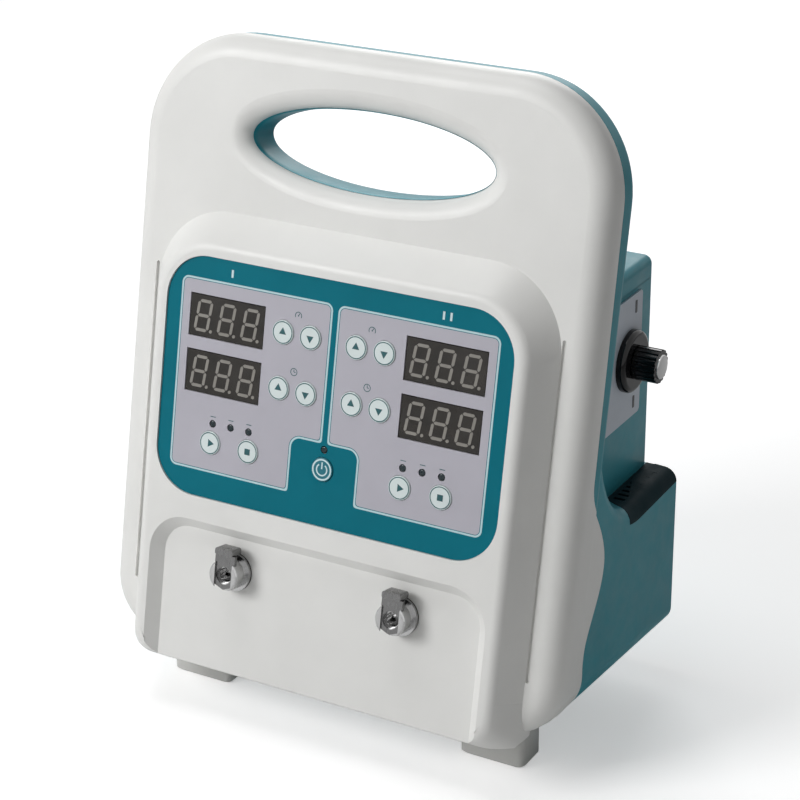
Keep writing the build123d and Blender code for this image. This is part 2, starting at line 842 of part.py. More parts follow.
# Couplings: a barrel with a port, a slot for the latch behind a lip, a threaded tail and a barb
barrel_face = floor_out + coupling_proud
lip_back = barrel_face - lip_thickness
slot_back = lip_back - latch_thickness - 2 * latch_gap
tail_end = floor_out - tail_length
latch_top = coupling_radius + latch_travel + 0.6
spring_top = latch_top
spring_low = coupling_radius - spring_seat
spring_out = slot_back - spring_radius - spring_wire - spring_gap
for name, spot in coupling_spots.items():
    spring_spot = face_spot(spot[1] + spring_low, spring_out, spot[0])
    spring_plane = Plane(origin=spring_spot, x_dir=(1, 0, 0), z_dir=upward)
    with BuildPart() as coupling_body:
        with BuildSketch(face.offset(floor_out + seal_thickness)):
            with Locations(spot):
                Circle(coupling_radius)
        extrude(amount=coupling_proud - seal_thickness)
        fillet(coupling_body.faces().sort_by(face_out)[-1].edges(), 0.9)
        with BuildSketch(face.offset(floor_out + seal_thickness)):
            with Locations(spot):
                Circle(coupling_flange_radius)
        extrude(amount=coupling_flange)
        with BuildSketch(face.offset(floor_out + seal_thickness)):
            with Locations(spot):
                Circle(tail_radius)
        extrude(amount=-(tail_length + seal_thickness))
        with BuildSketch(face.offset(tail_end)):
            with Locations(spot):
                Circle(barb_radius)
        extrude(amount=-barb_length)
        place = face.offset(barrel_face).shift_origin(face.offset(barrel_face).from_local_coords(spot))
        with BuildSketch(place):
            add(shield(lip_half_width, latch_low + latch_travel, latch_point, 2 * coupling_radius))
        extrude(amount=-lip_thickness, mode=Mode.SUBTRACT)
        with BuildSketch(place.offset(-lip_thickness)):
            reach = latch_half_width + latch_gap
            add(shield(reach, latch_low + latch_travel + latch_gap, latch_point, 2 * coupling_radius))
        extrude(amount=-(latch_thickness + 2 * latch_gap), mode=Mode.SUBTRACT)
        with BuildSketch(face.offset(slot_back)):
            with Locations(spot):
                Circle(port_radius)
        extrude(amount=-port_length, mode=Mode.SUBTRACT)
        with BuildSketch(face.offset(slot_back)):
            with Locations(spot):
                Circle(flow_radius)
        extrude(amount=-(slot_back - tail_end + barb_length), mode=Mode.SUBTRACT)
        with BuildSketch(spring_plane):
            Circle(spring_radius + spring_wire + spring_gap)
        extrude(amount=spring_top - spring_low, mode=Mode.SUBTRACT)
    coupling_body.part.label = f"coupling_body_{name}"
    export_step(coupling_body.part, f"parts/coupling_body_{name}.step")

    with BuildPart() as coupling_latch:
        with BuildSketch(place.offset(-lip_thickness - latch_gap)):
            add(shield(latch_half_width, latch_low, latch_point, latch_top))
            Circle(latch_hole_radius, mode=Mode.SUBTRACT)
        extrude(amount=-latch_thickness)
        with BuildSketch(place.offset(latch_pad_front)):
            with Locations((0, latch_top + latch_pad_height / 2)):
                RectangleRounded(latch_pad_width, latch_pad_height, latch_pad_height * 0.3)
        extrude(amount=-latch_pad_depth)
    coupling_latch.part.label = f"coupling_latch_{name}"
    export_step(coupling_latch.part, f"parts/coupling_latch_{name}.step")

    # The spring stands in its seat in the body and carries the thumb pad
    with BuildPart() as latch_spring:
        height = spring_top - spring_low - 2 * spring_wire - fit_gap
        start = spring_spot + upward * (spring_wire + fit_gap / 2)
        with BuildLine() as coil:
            Helix(height / spring_turns, height, spring_radius, center=start, direction=upward)
        with BuildSketch(Plane(origin=coil.line @ 0, z_dir=coil.line % 0)):
            Circle(spring_wire)
        sweep(path=coil.wires()[0], is_frenet=True)
    gap = height / spring_turns - 2 * spring_wire
    print("latch spring", name, "least gap between turns", round(gap, 2))
    latch_spring.part.label = f"latch_spring_{name}"
    export_step(latch_spring.part, f"parts/latch_spring_{name}.step")

# Sealing washers and nuts of the couplings
with BuildPart() as coupling_seals:
    with BuildSketch(face.offset(floor_out)):
        with Locations(*coupling_spots.values()):
            Circle(coupling_flange_radius)
            Circle(tail_radius + tail_gap, mode=Mode.SUBTRACT)
    extrude(amount=seal_thickness)
coupling_seals.part.label = "coupling_seals"
export_step(coupling_seals.part, "parts/coupling_seals.step")

with BuildPart() as coupling_nuts:
    with BuildSketch(face.offset(floor_out - wall)):
        with Locations(*coupling_spots.values()):
            RegularPolygon(nut_across / 2, 6, major_radius=False)
            Circle(tail_radius + screw_gap, mode=Mode.SUBTRACT)
    extrude(amount=-nut_thickness)
coupling_nuts.part.label = "coupling_nuts"
export_step(coupling_nuts.part, "parts/coupling_nuts.step")


def foot_form(x, y):
    """One block foot with the sunk hole for its screw left to the caller."""
    with BuildPart() as form:
        with BuildSketch():
            with Locations((x, y)):
                RectangleRounded(foot_width, foot_depth, foot_round)
        extrude(amount=underside_z)
        chamfer(form.faces().sort_by(Axis.Z)[0].edges(), 1.2)
    return form.part


with BuildPart() as feet:
    for x, y in front_foot_spots + rear_foot_spots:
        add(foot_form(x, y))
    for x, y in foot_screw_spots:
        sink = column((x, y, 0), (0, 0, 1), foot_head_radius, foot_head_sink)
        add(sink, mode=Mode.SUBTRACT)
        hole = column((x, y, 0), (0, 0, 1), foot_screw_radius + screw_gap, underside_z)
        add(hole, mode=Mode.SUBTRACT)
feet.part.label = "feet"
export_step(feet.part, "parts/feet.step")

with BuildPart() as foot_screws:
    for x, y in foot_screw_spots:
        seat = Vector(x, y, foot_head_sink)
        radius = foot_head_radius - rim_head_gap
        add(pan_screw(seat, (0, 0, 1), foot_screw_radius, foot_screw_length, radius, foot_head_height))
foot_screws.part.label = "foot_screws"
export_step(foot_screws.part, "parts/foot_screws.step")

# Chassis plate that carries the pumps, the manifold, the supply and the battery
with BuildPart() as chassis_plate:
    with BuildSketch(Plane.XY.offset(chassis_z)):
        with Locations((0, (chassis_front_y + chassis_rear_y) / 2)):
            Rectangle(2 * chassis_half_width, chassis_rear_y - chassis_front_y)
        with Locations(*chassis_screw_spots):
            Circle(chassis_screw_radius + screw_gap, mode=Mode.SUBTRACT)
    extrude(amount=chassis_thickness)
chassis_plate.part.label = "chassis_plate"
export_step(chassis_plate.part, "parts/chassis_plate.step")

with BuildPart() as chassis_screws:
    for x, y in chassis_screw_spots:
        seat = Vector(x, y, deck_z)
        size = (chassis_screw_radius, chassis_screw_length, chassis_head_radius, chassis_head_height)
        add(pan_screw(seat, (0, 0, -1), *size))
chassis_screws.part.label = "chassis_screws"
export_step(chassis_screws.part, "parts/chassis_screws.step")

# Manifold block with the ports of the two channels, the pumps and the release line
manifold_y = (manifold_front_y + manifold_rear_y) / 2
manifold_top = deck_z + manifold_height
with BuildPart() as valve_manifold:
    add(
        block(
            (-manifold_half_width, manifold_half_width),
            (manifold_front_y, manifold_rear_y),
            (deck_z, manifold_top),
        )
    )
    chamfer(valve_manifold.edges().filter_by(Axis.Z), 1)
    for side in (-1, 1):
        barb = column((side * manifold_port_x, manifold_front_y, air_z), (0, -1, 0), barb_radius, inner_barb_length)
        add(barb)
    add(column((0, manifold_y, manifold_top), (0, 0, 1), barb_radius, inner_barb_length))
    for side in (-1, 1):
        port = column(
            (side * manifold_half_width, manifold_y, air_z),
            (-side, 0, 0),
            pump_nozzle_radius + fit_gap,
            pump_nozzle_length + fit_gap,
        )
        add(port, mode=Mode.SUBTRACT)
valve_manifold.part.label = "valve_manifold"
export_step(valve_manifold.part, "parts/valve_manifold.step")

with BuildPart() as solenoid_valves:
    for side in (-1, 1):
        x = (side * valve_x - valve_size / 2, side * valve_x + valve_size / 2)
        y = (manifold_y - valve_size / 2, manifold_y + valve_size / 2)
        add(block(x, y, (manifold_top, manifold_top + valve_height)))
    chamfer(solenoid_valves.faces().group_by(Axis.Z)[-1].edges(), 1)
solenoid_valves.part.label = "solenoid_valves"
export_step(solenoid_valves.part, "parts/solenoid_valves.step")

# Pumps: each nozzle plugs into one side of the manifold
for name, side in channels.items():
    start = manifold_half_width + pump_gap
    with BuildPart() as pump:
        with BuildSketch(Plane(origin=(side * start, manifold_y, air_z), x_dir=(0, 1, 0), z_dir=(side, 0, 0))):
            RectangleRounded(pump_head, pump_head, 3)
        extrude(amount=pump_head_length)
        with BuildSketch(
            Plane(origin=(side * (start + pump_head_length), manifold_y, air_z), z_dir=(side, 0, 0))
        ):
            Circle(pump_motor_radius)
        extrude(amount=pump_motor_length)
        chamfer(pump.faces().sort_by(Axis.X)[-1 if side > 0 else 0].edges(), 1)
        nozzle = column(
            (side * start, manifold_y, air_z), (-side, 0, 0), pump_nozzle_radius, pump_nozzle_length
        )
        add(nozzle)
    pump.part.label = f"pump_{name}"
    export_step(pump.part, f"parts/pump_{name}.step")

with BuildPart() as pump_cradles:
    for side in (-1, 1):
        middle = manifold_half_width + pump_gap + pump_head_length + pump_motor_length / 2
        x = (side * middle - cradle_length / 2, side * middle + cradle_length / 2)
        y = (manifold_y - cradle_half_width, manifold_y + cradle_half_width)
        add(block(x, y, (deck_z, deck_z + cradle_height)))
    for side in (-1, 1):
        start = (side * manifold_half_width, manifold_y, air_z)
        add(column(start, (side, 0, 0), pump_motor_radius + pump_gap, 80), mode=Mode.SUBTRACT)
pump_cradles.part.label = "pump_cradles"
export_step(pump_cradles.part, "parts/pump_cradles.step")


def hose_form(points):
    """A hose of even bore along straight runs with round bends."""
    with BuildPart() as form:
        with BuildLine() as route:
            runs = [(b - a).length for a, b in zip(points, points[1:])]
            radii = []
            for i in range(1, len(points) - 1):
                turn = (points[i] - points[i - 1]).get_angle(points[i + 1] - points[i])
                half = radians(turn / 2)
                radii.append(0.45 * min(runs[i - 1], runs[i]) / (sin(half) / cos(half)))
            FilletPolyline(*points, radius=radii)
        print("hose bends", [round(r, 1) for r in radii])
        with BuildSketch(Plane(origin=points[0], z_dir=points[1] - points[0])):
            Circle(hose_radius)
            Circle(hose_bore, mode=Mode.SUBTRACT)
        sweep(path=route.wires()[0])
        area = 3.14159265 * (hose_radius**2 - hose_bore**2)
        print("hose volume over section times length", round(form.part.volume / area / route.wires()[0].length, 4))
    return form.part


# Hoses from the couplings to the manifold
for name, side in channels.items():
    u = side * coupling_u
    port = Vector(side * manifold_port_x, manifold_front_y - fit_gap, air_z)
    points = [
        face_spot(coupling_v, tail_end - fit_gap, u),
        face_spot(coupling_v, tail_end - 2 * barb_length, u),
        port + Vector(0, -2.6 * inner_barb_length, 0),
        port,
    ]
    with BuildPart() as air_hose:
        add(hose_form(points))
    air_hose.part.label = f"air_hose_{name}"
    export_step(air_hose.part, f"parts/air_hose_{name}.step")

# Release valve: flange outside, threaded body through the wall, nut inside, knob on a shaft
release_spot = Vector(middle_half_width, release_y, release_z)
plate_face = plate_thickness
flange_face = plate_face + release_flange
body_end = flange_face - release_body_length
with BuildPart() as release_flange_piece:
    with BuildSketch(release_wall.offset(plate_face)):
        Circle(release_flange_radius)
        Circle(release_body_radius + screw_gap, mode=Mode.SUBTRACT)
    extrude(amount=release_flange)
    rim = release_flange_piece.faces().sort_by(Axis.X)[-1].edges().sort_by(SortBy.LENGTH)[-1]
    fillet(rim, release_flange * 0.6)
release_flange_piece.part.label = "release_flange"
export_step(release_flange_piece.part, "parts/release_flange.step")

with BuildPart() as release_valve:
    with BuildSketch(release_wall.offset(body_end)):
        Circle(release_body_radius)
    extrude(amount=flange_face - body_end)
    with BuildSketch(release_wall.offset(flange_face)):
        Circle(release_shaft_radius + fit_gap)
    extrude(amount=-(release_shaft_length + fit_gap), mode=Mode.SUBTRACT)
    with BuildSketch(release_wall.offset(body_end)):
        Circle(barb_radius)
    extrude(amount=-release_barb_length)
release_valve.part.label = "release_valve"
export_step(release_valve.part, "parts/release_valve.step")

with BuildPart() as release_nut:
    with BuildSketch(release_wall.offset(-wall)):
        RegularPolygon(release_nut_across / 2, 6, major_radius=False)
        Circle(release_body_radius + screw_gap, mode=Mode.SUBTRACT)
    extrude(amount=-release_nut_thickness)
release_nut.part.label = "release_nut"
export_step(release_nut.part, "parts/release_nut.step")

with BuildPart() as release_knob:
    with BuildSketch(release_wall.offset(flange_face + release_knob_gap)):
        Circle(release_knob_radius)
        with PolarLocations(release_knob_radius, knob_flutes):
            Circle(flute_radius, mode=Mode.SUBTRACT)
    extrude(amount=release_knob_length)
    with BuildSketch(release_wall.offset(flange_face + release_knob_gap)):
        Circle(release_shaft_radius)
    extrude(amount=-(release_shaft_length + release_knob_gap - fit_gap))
release_knob.part.label = "release_knob"
export_step(release_knob.part, "parts/release_knob.step")

with BuildPart() as side_plate:
    with BuildSketch(Plane.YZ.offset(middle_half_width)):
        with Locations(((plate_y[0] + plate_y[1]) / 2, (plate_z[0] + plate_z[1]) / 2)):
            RectangleRounded(plate_y[1] - plate_y[0], plate_z[1] - plate_z[0], 2)
        with Locations((release_y, release_z)):
            Circle(release_body_radius + tail_gap, mode=Mode.SUBTRACT)
    extrude(amount=plate_thickness)
side_plate.part.label = "side_plate"
export_step(side_plate.part, "parts/side_plate.step")

# Hose from the manifold up to the release valve
valve_port = Vector(middle_half_width + body_end + fit_gap * -1, release_y, release_z)
with BuildPart() as release_hose:
    add(
        hose_form(
            [
                Vector(0, manifold_y, manifold_top + fit_gap),
                Vector(0, manifold_y, manifold_top + 40),
                Vector(22, (manifold_y + release_y) / 2, release_z - 24),
                Vector(46, release_y, release_z),
                valve_port,
            ]
        )
    )
release_hose.part.label = "release_hose"
export_step(release_hose.part, "parts/release_hose.step")

# Supply and battery
with BuildPart() as power_supply:
    add(block(supply_x, supply_y, (deck_z, deck_z + supply_height)))
    chamfer(power_supply.edges().filter_by(Axis.Z), 1.5)
power_supply.part.label = "power_supply"
export_step(power_supply.part, "parts/power_supply.step")

with BuildPart() as battery_pack:
    add(block(battery_x, battery_y, (deck_z, deck_z + battery_height)))
    fillet(battery_pack.edges().filter_by(Axis.Z), 4)
battery_pack.part.label = "battery_pack"
export_step(battery_pack.part, "parts/battery_pack.step")

# Control board on the rear wall, with the pressure sensors and the buzzer on it
board_plane = Plane(origin=(0, control_board_y, 0), x_dir=(1, 0, 0), z_dir=(0, -1, 0))
with BuildPart() as control_board:
    with BuildSketch(board_plane):
        with Locations(((control_x[0] + control_x[1]) / 2, (control_z[0] + control_z[1]) / 2)):
            Rectangle(control_x[1] - control_x[0], control_z[1] - control_z[0])
        with Locations(*control_screw_spots):
            Circle(board_screw_radius + screw_gap, mode=Mode.SUBTRACT)
    extrude(amount=board_thickness)
control_board.part.label = "control_board"
export_step(control_board.part, "parts/control_board.step")

with BuildPart() as pressure_sensors:
    with BuildSketch(board_plane.offset(board_thickness)):
        with Locations((sensor_x, sensor_z), (sensor_x - sensor_pitch, sensor_z)):
            Rectangle(sensor_size, sensor_size)
    extrude(amount=sensor_height)
    with BuildSketch(board_plane.offset(board_thickness + sensor_height)):
        with Locations((sensor_x, sensor_z), (sensor_x - sensor_pitch, sensor_z)):
            Circle(barb_radius * 0.75)
    extrude(amount=2)
pressure_sensors.part.label = "pressure_sensors"
export_step(pressure_sensors.part, "parts/pressure_sensors.step")

with BuildPart() as buzzer:
    with BuildSketch(board_plane.offset(board_thickness)):
        with Locations((buzzer_x, buzzer_z)):
            Circle(buzzer_radius)
    extrude(amount=buzzer_height)
    with BuildSketch(board_plane.offset(board_thickness + buzzer_height)):
        with Locations((buzzer_x, buzzer_z)):
            Circle(1.5)
    extrude(amount=-1, mode=Mode.SUBTRACT)
buzzer.part.label = "buzzer"
export_step(buzzer.part, "parts/buzzer.step")

# Shoulder vents, a slotted insert on each ledge
for name, side in (("left", -1), ("right", 1)):
    with BuildPart() as shoulder_vent:
        with BuildSketch(Plane.XY.offset(shoulder_z - vent_depth)):
            with Locations((side * vent_x, vent_middle)):
                Rectangle(vent_width, vent_length)
                with GridLocations(0, vent_length / vent_slots, 1, vent_slots):
                    Rectangle(vent_slot_length, vent_slot_width, mode=Mode.SUBTRACT)
        extrude(amount=vent_depth)
    shoulder_vent.part.label = f"shoulder_vent_{name}"
    export_step(shoulder_vent.part, f"parts/shoulder_vent_{name}.step")

def socket_outline():
    """The mouth of the mains socket, with its two lower corners cut."""
    with BuildSketch() as profile:
        Rectangle(socket_width, socket_height)
        chamfer(profile.vertices().group_by(Axis.Y)[-1], socket_chamfer)
    return profile.sketch


# Mains inlet with its fuse drawer and rocker
with BuildPart() as power_inlet:
    with BuildSketch(rear_face):
        RectangleRounded(inlet_width, inlet_height, inlet_corner)
    extrude(amount=-inlet_flange)
    with BuildSketch(rear_face):
        Rectangle(inlet_body_width, inlet_body_height)
    extrude(amount=-inlet_body_depth)
    with BuildSketch(rear_face):
        with Locations((0, socket_v)):
            add(socket_outline())
    extrude(amount=-socket_depth, mode=Mode.SUBTRACT)
    with BuildSketch(rear_face.offset(-socket_depth)):
        with Locations((-7, socket_v - 2), (7, socket_v - 2), (0, socket_v + 2)):
            Rectangle(pin_width, pin_height)
    extrude(amount=pin_length)
    with BuildSketch(rear_face):
        with Locations((0, drawer_v)):
            Rectangle(drawer_width + 2 * drawer_gap, drawer_height + 2 * drawer_gap)
    extrude(amount=-(drawer_depth + drawer_gap), mode=Mode.SUBTRACT)
    with BuildSketch(rear_face):
        with Locations((0, rocker_v)):
            Rectangle(rocker_width + 2 * rocker_gap, rocker_height + 2 * rocker_gap)
    extrude(amount=-(rocker_depth + 3), mode=Mode.SUBTRACT)
    with BuildSketch(Plane.YZ.offset(inlet_x - inlet_body_width / 2 + 1)):
        with Locations((rear_y - rocker_depth + 3, inlet_z + rocker_v)):
            Circle(rocker_axle_radius + fit_gap)
    extrude(amount=inlet_body_width - 2, mode=Mode.SUBTRACT)
power_inlet.part.label = "power_inlet"
export_step(power_inlet.part, "parts/power_inlet.step")

with BuildPart() as fuse_drawer:
    with BuildSketch(rear_face):
        with Locations((0, drawer_v)):
            Rectangle(drawer_width, drawer_height)
    extrude(amount=-drawer_depth)
    with BuildSketch(rear_face):
        with Locations((0, drawer_v)):
            Rectangle(drawer_width * 0.35, 1.4)
    extrude(amount=-0.8, mode=Mode.SUBTRACT)
    with BuildSketch(rear_face.offset(-2)):
        with Locations((0, drawer_v + drawer_height / 2)):
            Rectangle(drawer_width - 4, 4)
    extrude(amount=-(drawer_depth - 4), mode=Mode.SUBTRACT)
fuse_drawer.part.label = "fuse_drawer"
export_step(fuse_drawer.part, "parts/fuse_drawer.step")

with BuildPart() as mains_rocker:
    axle = Vector(inlet_x, rear_y - rocker_depth + 3, inlet_z + rocker_v)
    tilted = Vector(0, cos(radians(rocker_tilt)), sin(radians(rocker_tilt)))
    rocker_plane = Plane(origin=axle, x_dir=tilted, z_dir=(1, 0, 0))
    half = rocker_height / 2
    with BuildSketch(rocker_plane.offset(-rocker_width / 2)):
        with BuildLine():
            Polyline(
                (-2, -half + 1.5),
                (4.2, -half + 0.5),
                (3.6, 0),
                (4.2, half - 0.5),
                (-2, half - 1.5),
                close=True,
            )
        make_face()
    extrude(amount=rocker_width)
    with BuildSketch(rocker_plane.offset(-inlet_body_width / 2 + 1.2)):
        with Locations((0, 0)):
            Circle(rocker_axle_radius)
    extrude(amount=inlet_body_width - 2.4)
mains_rocker.part.label = "mains_rocker"
export_step(mains_rocker.part, "parts/mains_rocker.step")
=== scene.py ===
import bmesh
import bpy
import json
from math import acos, cos, radians, sin, tan
from mathutils import Matrix, Vector


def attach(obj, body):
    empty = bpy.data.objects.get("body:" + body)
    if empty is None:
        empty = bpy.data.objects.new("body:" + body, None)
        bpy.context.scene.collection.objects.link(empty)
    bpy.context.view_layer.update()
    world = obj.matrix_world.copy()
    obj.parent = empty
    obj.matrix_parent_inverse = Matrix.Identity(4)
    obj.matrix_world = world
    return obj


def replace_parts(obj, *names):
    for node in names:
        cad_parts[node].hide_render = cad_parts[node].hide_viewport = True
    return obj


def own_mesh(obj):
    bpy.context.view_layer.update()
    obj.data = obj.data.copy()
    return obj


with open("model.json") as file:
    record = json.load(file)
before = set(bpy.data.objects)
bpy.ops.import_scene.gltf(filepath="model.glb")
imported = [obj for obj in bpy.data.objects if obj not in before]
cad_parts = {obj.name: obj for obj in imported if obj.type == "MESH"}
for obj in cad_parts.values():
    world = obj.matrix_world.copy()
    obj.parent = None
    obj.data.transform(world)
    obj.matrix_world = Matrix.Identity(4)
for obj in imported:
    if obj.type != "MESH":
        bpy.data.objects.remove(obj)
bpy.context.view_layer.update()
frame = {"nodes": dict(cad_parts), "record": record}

mm = 0.001
nodes = frame["nodes"]
print("frame loaded,", len(nodes), "nodes")

# the leaning face: u to the right, v up the face, out of the face
lean = radians(11.7)
faceY, faceZ = -39.0, 190.6
faceOrigin = Vector((0, faceY, faceZ)) * mm
faceTurn = Matrix.Rotation(radians(90) - lean, 4, "X")
faceMatrix = Matrix.Translation(faceOrigin) @ faceTurn
overlayFace = -0.8
keyTop = -0.2
displayTop = -1.1


def newMaterial(name):
    material = bpy.data.materials.new(name)
    material.use_nodes = True
    tree = material.node_tree
    tree.nodes.clear()
    output = tree.nodes.new("ShaderNodeOutputMaterial")
    shader = tree.nodes.new("ShaderNodeBsdfPrincipled")
    tree.links.new(shader.outputs["BSDF"], output.inputs["Surface"])
    coords = tree.nodes.new("ShaderNodeTexCoord")
    return material, tree, shader, coords.outputs["Object"]


def noise(tree, place, scale, detail=3.0, roughness=0.5):
    node = tree.nodes.new("ShaderNodeTexNoise")
    node.inputs["Scale"].default_value = scale
    node.inputs["Detail"].default_value = detail
    node.inputs["Roughness"].default_value = roughness
    tree.links.new(place, node.inputs["Vector"])
    return node.outputs["Fac"]


def spread(tree, value, low, high, fromLow=0.3, fromHigh=0.7):
    node = tree.nodes.new("ShaderNodeMapRange")
    node.inputs["From Min"].default_value = fromLow
    node.inputs["From Max"].default_value = fromHigh
    node.inputs["To Min"].default_value = low
    node.inputs["To Max"].default_value = high
    tree.links.new(value, node.inputs["Value"])
    return node.outputs["Result"]


def blendColours(tree, factor, first, second):
    node = tree.nodes.new("ShaderNodeMix")
    node.data_type = "RGBA"
    tree.links.new(factor, node.inputs["Factor"])
    for socket, colour in ((node.inputs[6], first), (node.inputs[7], second)):
        if isinstance(colour, tuple):
            socket.default_value = (*colour, 1)
        else:
            tree.links.new(colour, socket)
    return node.outputs[2]


def bump(tree, shader, height, strength, distance):
    node = tree.nodes.new("ShaderNodeBump")
    node.inputs["Strength"].default_value = strength
    node.inputs["Distance"].default_value = distance
    tree.links.new(height, node.inputs["Height"])
    tree.links.new(node.outputs["Normal"], shader.inputs["Normal"])


def shade(colour, k):
    return tuple(min(1.0, c * k) for c in colour)


# moulded and painted finishes: base colour and how it varies, roughness, the mould's grain and its scale
finishes = {
    "shellWhite": dict(colour=(0.79, 0.79, 0.770), vary=0.03, rough=(0.36, 0.46), grain=0.05, size=2600),
    "shellTeal": dict(
        colour=(0.026, 0.255, 0.315), vary=0.08, rough=(0.34, 0.46), grain=0.05, size=2600, shine=0.2,
    ),
    "footGrey": dict(colour=(0.62, 0.62, 0.60), vary=0.08, rough=(0.5, 0.65), grain=0.10, size=2200),
    "plateGrey": dict(colour=(0.53, 0.58, 0.65), vary=0.08, rough=(0.4, 0.52), grain=0.08, size=1800),
    "blackPlastic": dict(colour=(0.020, 0.020, 0.022), vary=0.25, rough=(0.45, 0.6), grain=0.12, size=2200),
    "glossBlack": dict(
        colour=(0.003, 0.003, 0.004), vary=0.3, rough=(0.07, 0.13), grain=0.012, size=700, shine=0.3,
    ),
    "knobBlack": dict(
        colour=(0.005, 0.005, 0.006), vary=0.3, rough=(0.12, 0.2), grain=0.03, size=1500, shine=0.3,
    ),
    # the black of the vent, also used as painted shade on the sheets over the ledge, with almost no gloss
    "ventBlackAndPaintedShade": dict(
        colour=(0.004, 0.017, 0.022), vary=0.3, rough=(0.5, 0.65), grain=0.12, size=2200, shine=0.04,
    ),
    "blackRubber": dict(colour=(0.018, 0.018, 0.018), vary=0.25, rough=(0.6, 0.8), grain=0.15, size=1700),
    "hoseRubber": dict(colour=(0.52, 0.53, 0.50), vary=0.08, rough=(0.35, 0.5), grain=0.05, size=900),
    "batteryWrap": dict(colour=(0.03, 0.09, 0.27), vary=0.15, rough=(0.2, 0.32), grain=0.03, size=400),
    "keyWhite": dict(colour=(0.70, 0.78, 0.78), vary=0.03, rough=(0.32, 0.42), grain=0.03, size=2600),
    "keyTeal": dict(colour=(0.0, 0.150, 0.200), vary=0.05, rough=(0.32, 0.42), grain=0.03, size=2600),
    "inkTeal": dict(colour=(0.006, 0.085, 0.098), vary=0.10, rough=(0.4, 0.5), grain=0.02, size=2600),
    "inkPale": dict(colour=(0.62, 0.78, 0.80), vary=0.05, rough=(0.4, 0.5), grain=0.02, size=2600),
    "lampDark": dict(colour=(0.006, 0.020, 0.026), vary=0.2, rough=(0.12, 0.2), grain=0.01, size=900),
    "segmentGrey": dict(colour=(0.235, 0.222, 0.200), vary=0.10, rough=(0.35, 0.5), grain=0.02, size=1500),
    "plateMark": dict(colour=(0.035, 0.035, 0.04), vary=0.2, rough=(0.35, 0.5), grain=0.05, size=1500),
}
# clouds and rubbed spots: scale, detail and roughness of their noise
mould = dict(clouds=(22, 4, 0.55), rubbed=(90, 5, 0.6), depth=0.0004, shine=0.5)


def mouldedFinish(name):
    f = finishes[name]
    material, tree, shader, place = newMaterial(name)
    cloudy = noise(tree, place, *mould["clouds"])
    low, high = shade(f["colour"], 1 - f["vary"]), shade(f["colour"], 1 + f["vary"])
    tree.links.new(blendColours(tree, spread(tree, cloudy, 0, 1), low, high), shader.inputs["Base Color"])
    rubbed = noise(tree, place, *mould["rubbed"])
    tree.links.new(spread(tree, rubbed, *f["rough"]), shader.inputs["Roughness"])
    bump(tree, shader, noise(tree, place, f["size"], 2, 0.5), f["grain"], mould["depth"])
    shader.inputs["Specular IOR Level"].default_value = f.get("shine", mould["shine"])
    return material


# metals: base colour, roughness and the scale of their fine lines along each axis
metals = {
    "zincSteel": dict(colour=(0.56, 0.56, 0.57), rough=(0.28, 0.42), lines=(40, 900, 900)),
    "brightChrome": dict(colour=(0.50, 0.50, 0.50), rough=(0.12, 0.24), lines=(1400, 1400, 120)),
    "latchSteel": dict(colour=(0.20, 0.20, 0.20), rough=(0.2, 0.32), lines=(900, 300, 300)),
    "turnedBrass": dict(colour=(0.62, 0.44, 0.18), rough=(0.22, 0.34), lines=(900, 60, 60)),
    "aluminiumSheet": dict(colour=(0.60, 0.61, 0.63), rough=(0.3, 0.45), lines=(30, 700, 700)),
    "pumpCan": dict(colour=(0.33, 0.34, 0.36), rough=(0.32, 0.46), lines=(40, 500, 500)),
}
brushed = dict(dark=0.9, bright=1.08, grain=0.04, depth=0.0003)


def metalFinish(name):
    f = metals[name]
    material, tree, shader, place = newMaterial(name)
    shader.inputs["Metallic"].default_value = 1
    stretch = tree.nodes.new("ShaderNodeMapping")
    stretch.inputs["Scale"].default_value = f["lines"]
    tree.links.new(place, stretch.inputs["Vector"])
    drawn = noise(tree, stretch.outputs["Vector"], 1.0, 3, 0.6)
    low, high = shade(f["colour"], brushed["dark"]), shade(f["colour"], brushed["bright"])
    tree.links.new(blendColours(tree, spread(tree, drawn, 0, 1), low, high), shader.inputs["Base Color"])
    tree.links.new(spread(tree, drawn, *f["rough"]), shader.inputs["Roughness"])
    bump(tree, shader, drawn, brushed["grain"], brushed["depth"])
    return material


# green board with the pattern of its tracks
board = dict(
    cells=260, edge=(0.03, 0.06), ground=(0.010, 0.105, 0.045), track=(0.025, 0.19, 0.08),
    rough=(0.28, 0.4), clouds=120, grain=0.25, depth=0.0002,
)


def boardFinish():
    material, tree, shader, place = newMaterial("circuitBoard")
    cells = tree.nodes.new("ShaderNodeTexVoronoi")
    cells.feature = "DISTANCE_TO_EDGE"
    cells.inputs["Scale"].default_value = board["cells"]
    tree.links.new(place, cells.inputs["Vector"])
    track = spread(tree, cells.outputs["Distance"], 1, 0, *board["edge"])
    tree.links.new(blendColours(tree, track, board["ground"], board["track"]), shader.inputs["Base Color"])
    worn = spread(tree, noise(tree, place, board["clouds"]), *board["rough"])
    tree.links.new(worn, shader.inputs["Roughness"])
    bump(tree, shader, track, board["grain"], board["depth"])
    return material


# smoky filter over the digits, with faint clouds in it
window = dict(
    clouds=(160, 4, 0.6), dark=(0.010, 0.008, 0.006), bright=(0.020, 0.016, 0.012), rough=(0.16, 0.28),
    wiped=60, size=1800, grain=0.02, depth=0.0002,
)


def windowFinish():
    material, tree, shader, place = newMaterial("displayWindow")
    cloudy = spread(tree, noise(tree, place, *window["clouds"]), 0, 1)
    tint = blendColours(tree, cloudy, window["dark"], window["bright"])
    tree.links.new(tint, shader.inputs["Base Color"])
    wiped = spread(tree, noise(tree, place, window["wiped"]), *window["rough"])
    tree.links.new(wiped, shader.inputs["Roughness"])
    bump(tree, shader, noise(tree, place, window["size"], 2), window["grain"], window["depth"])
    return material


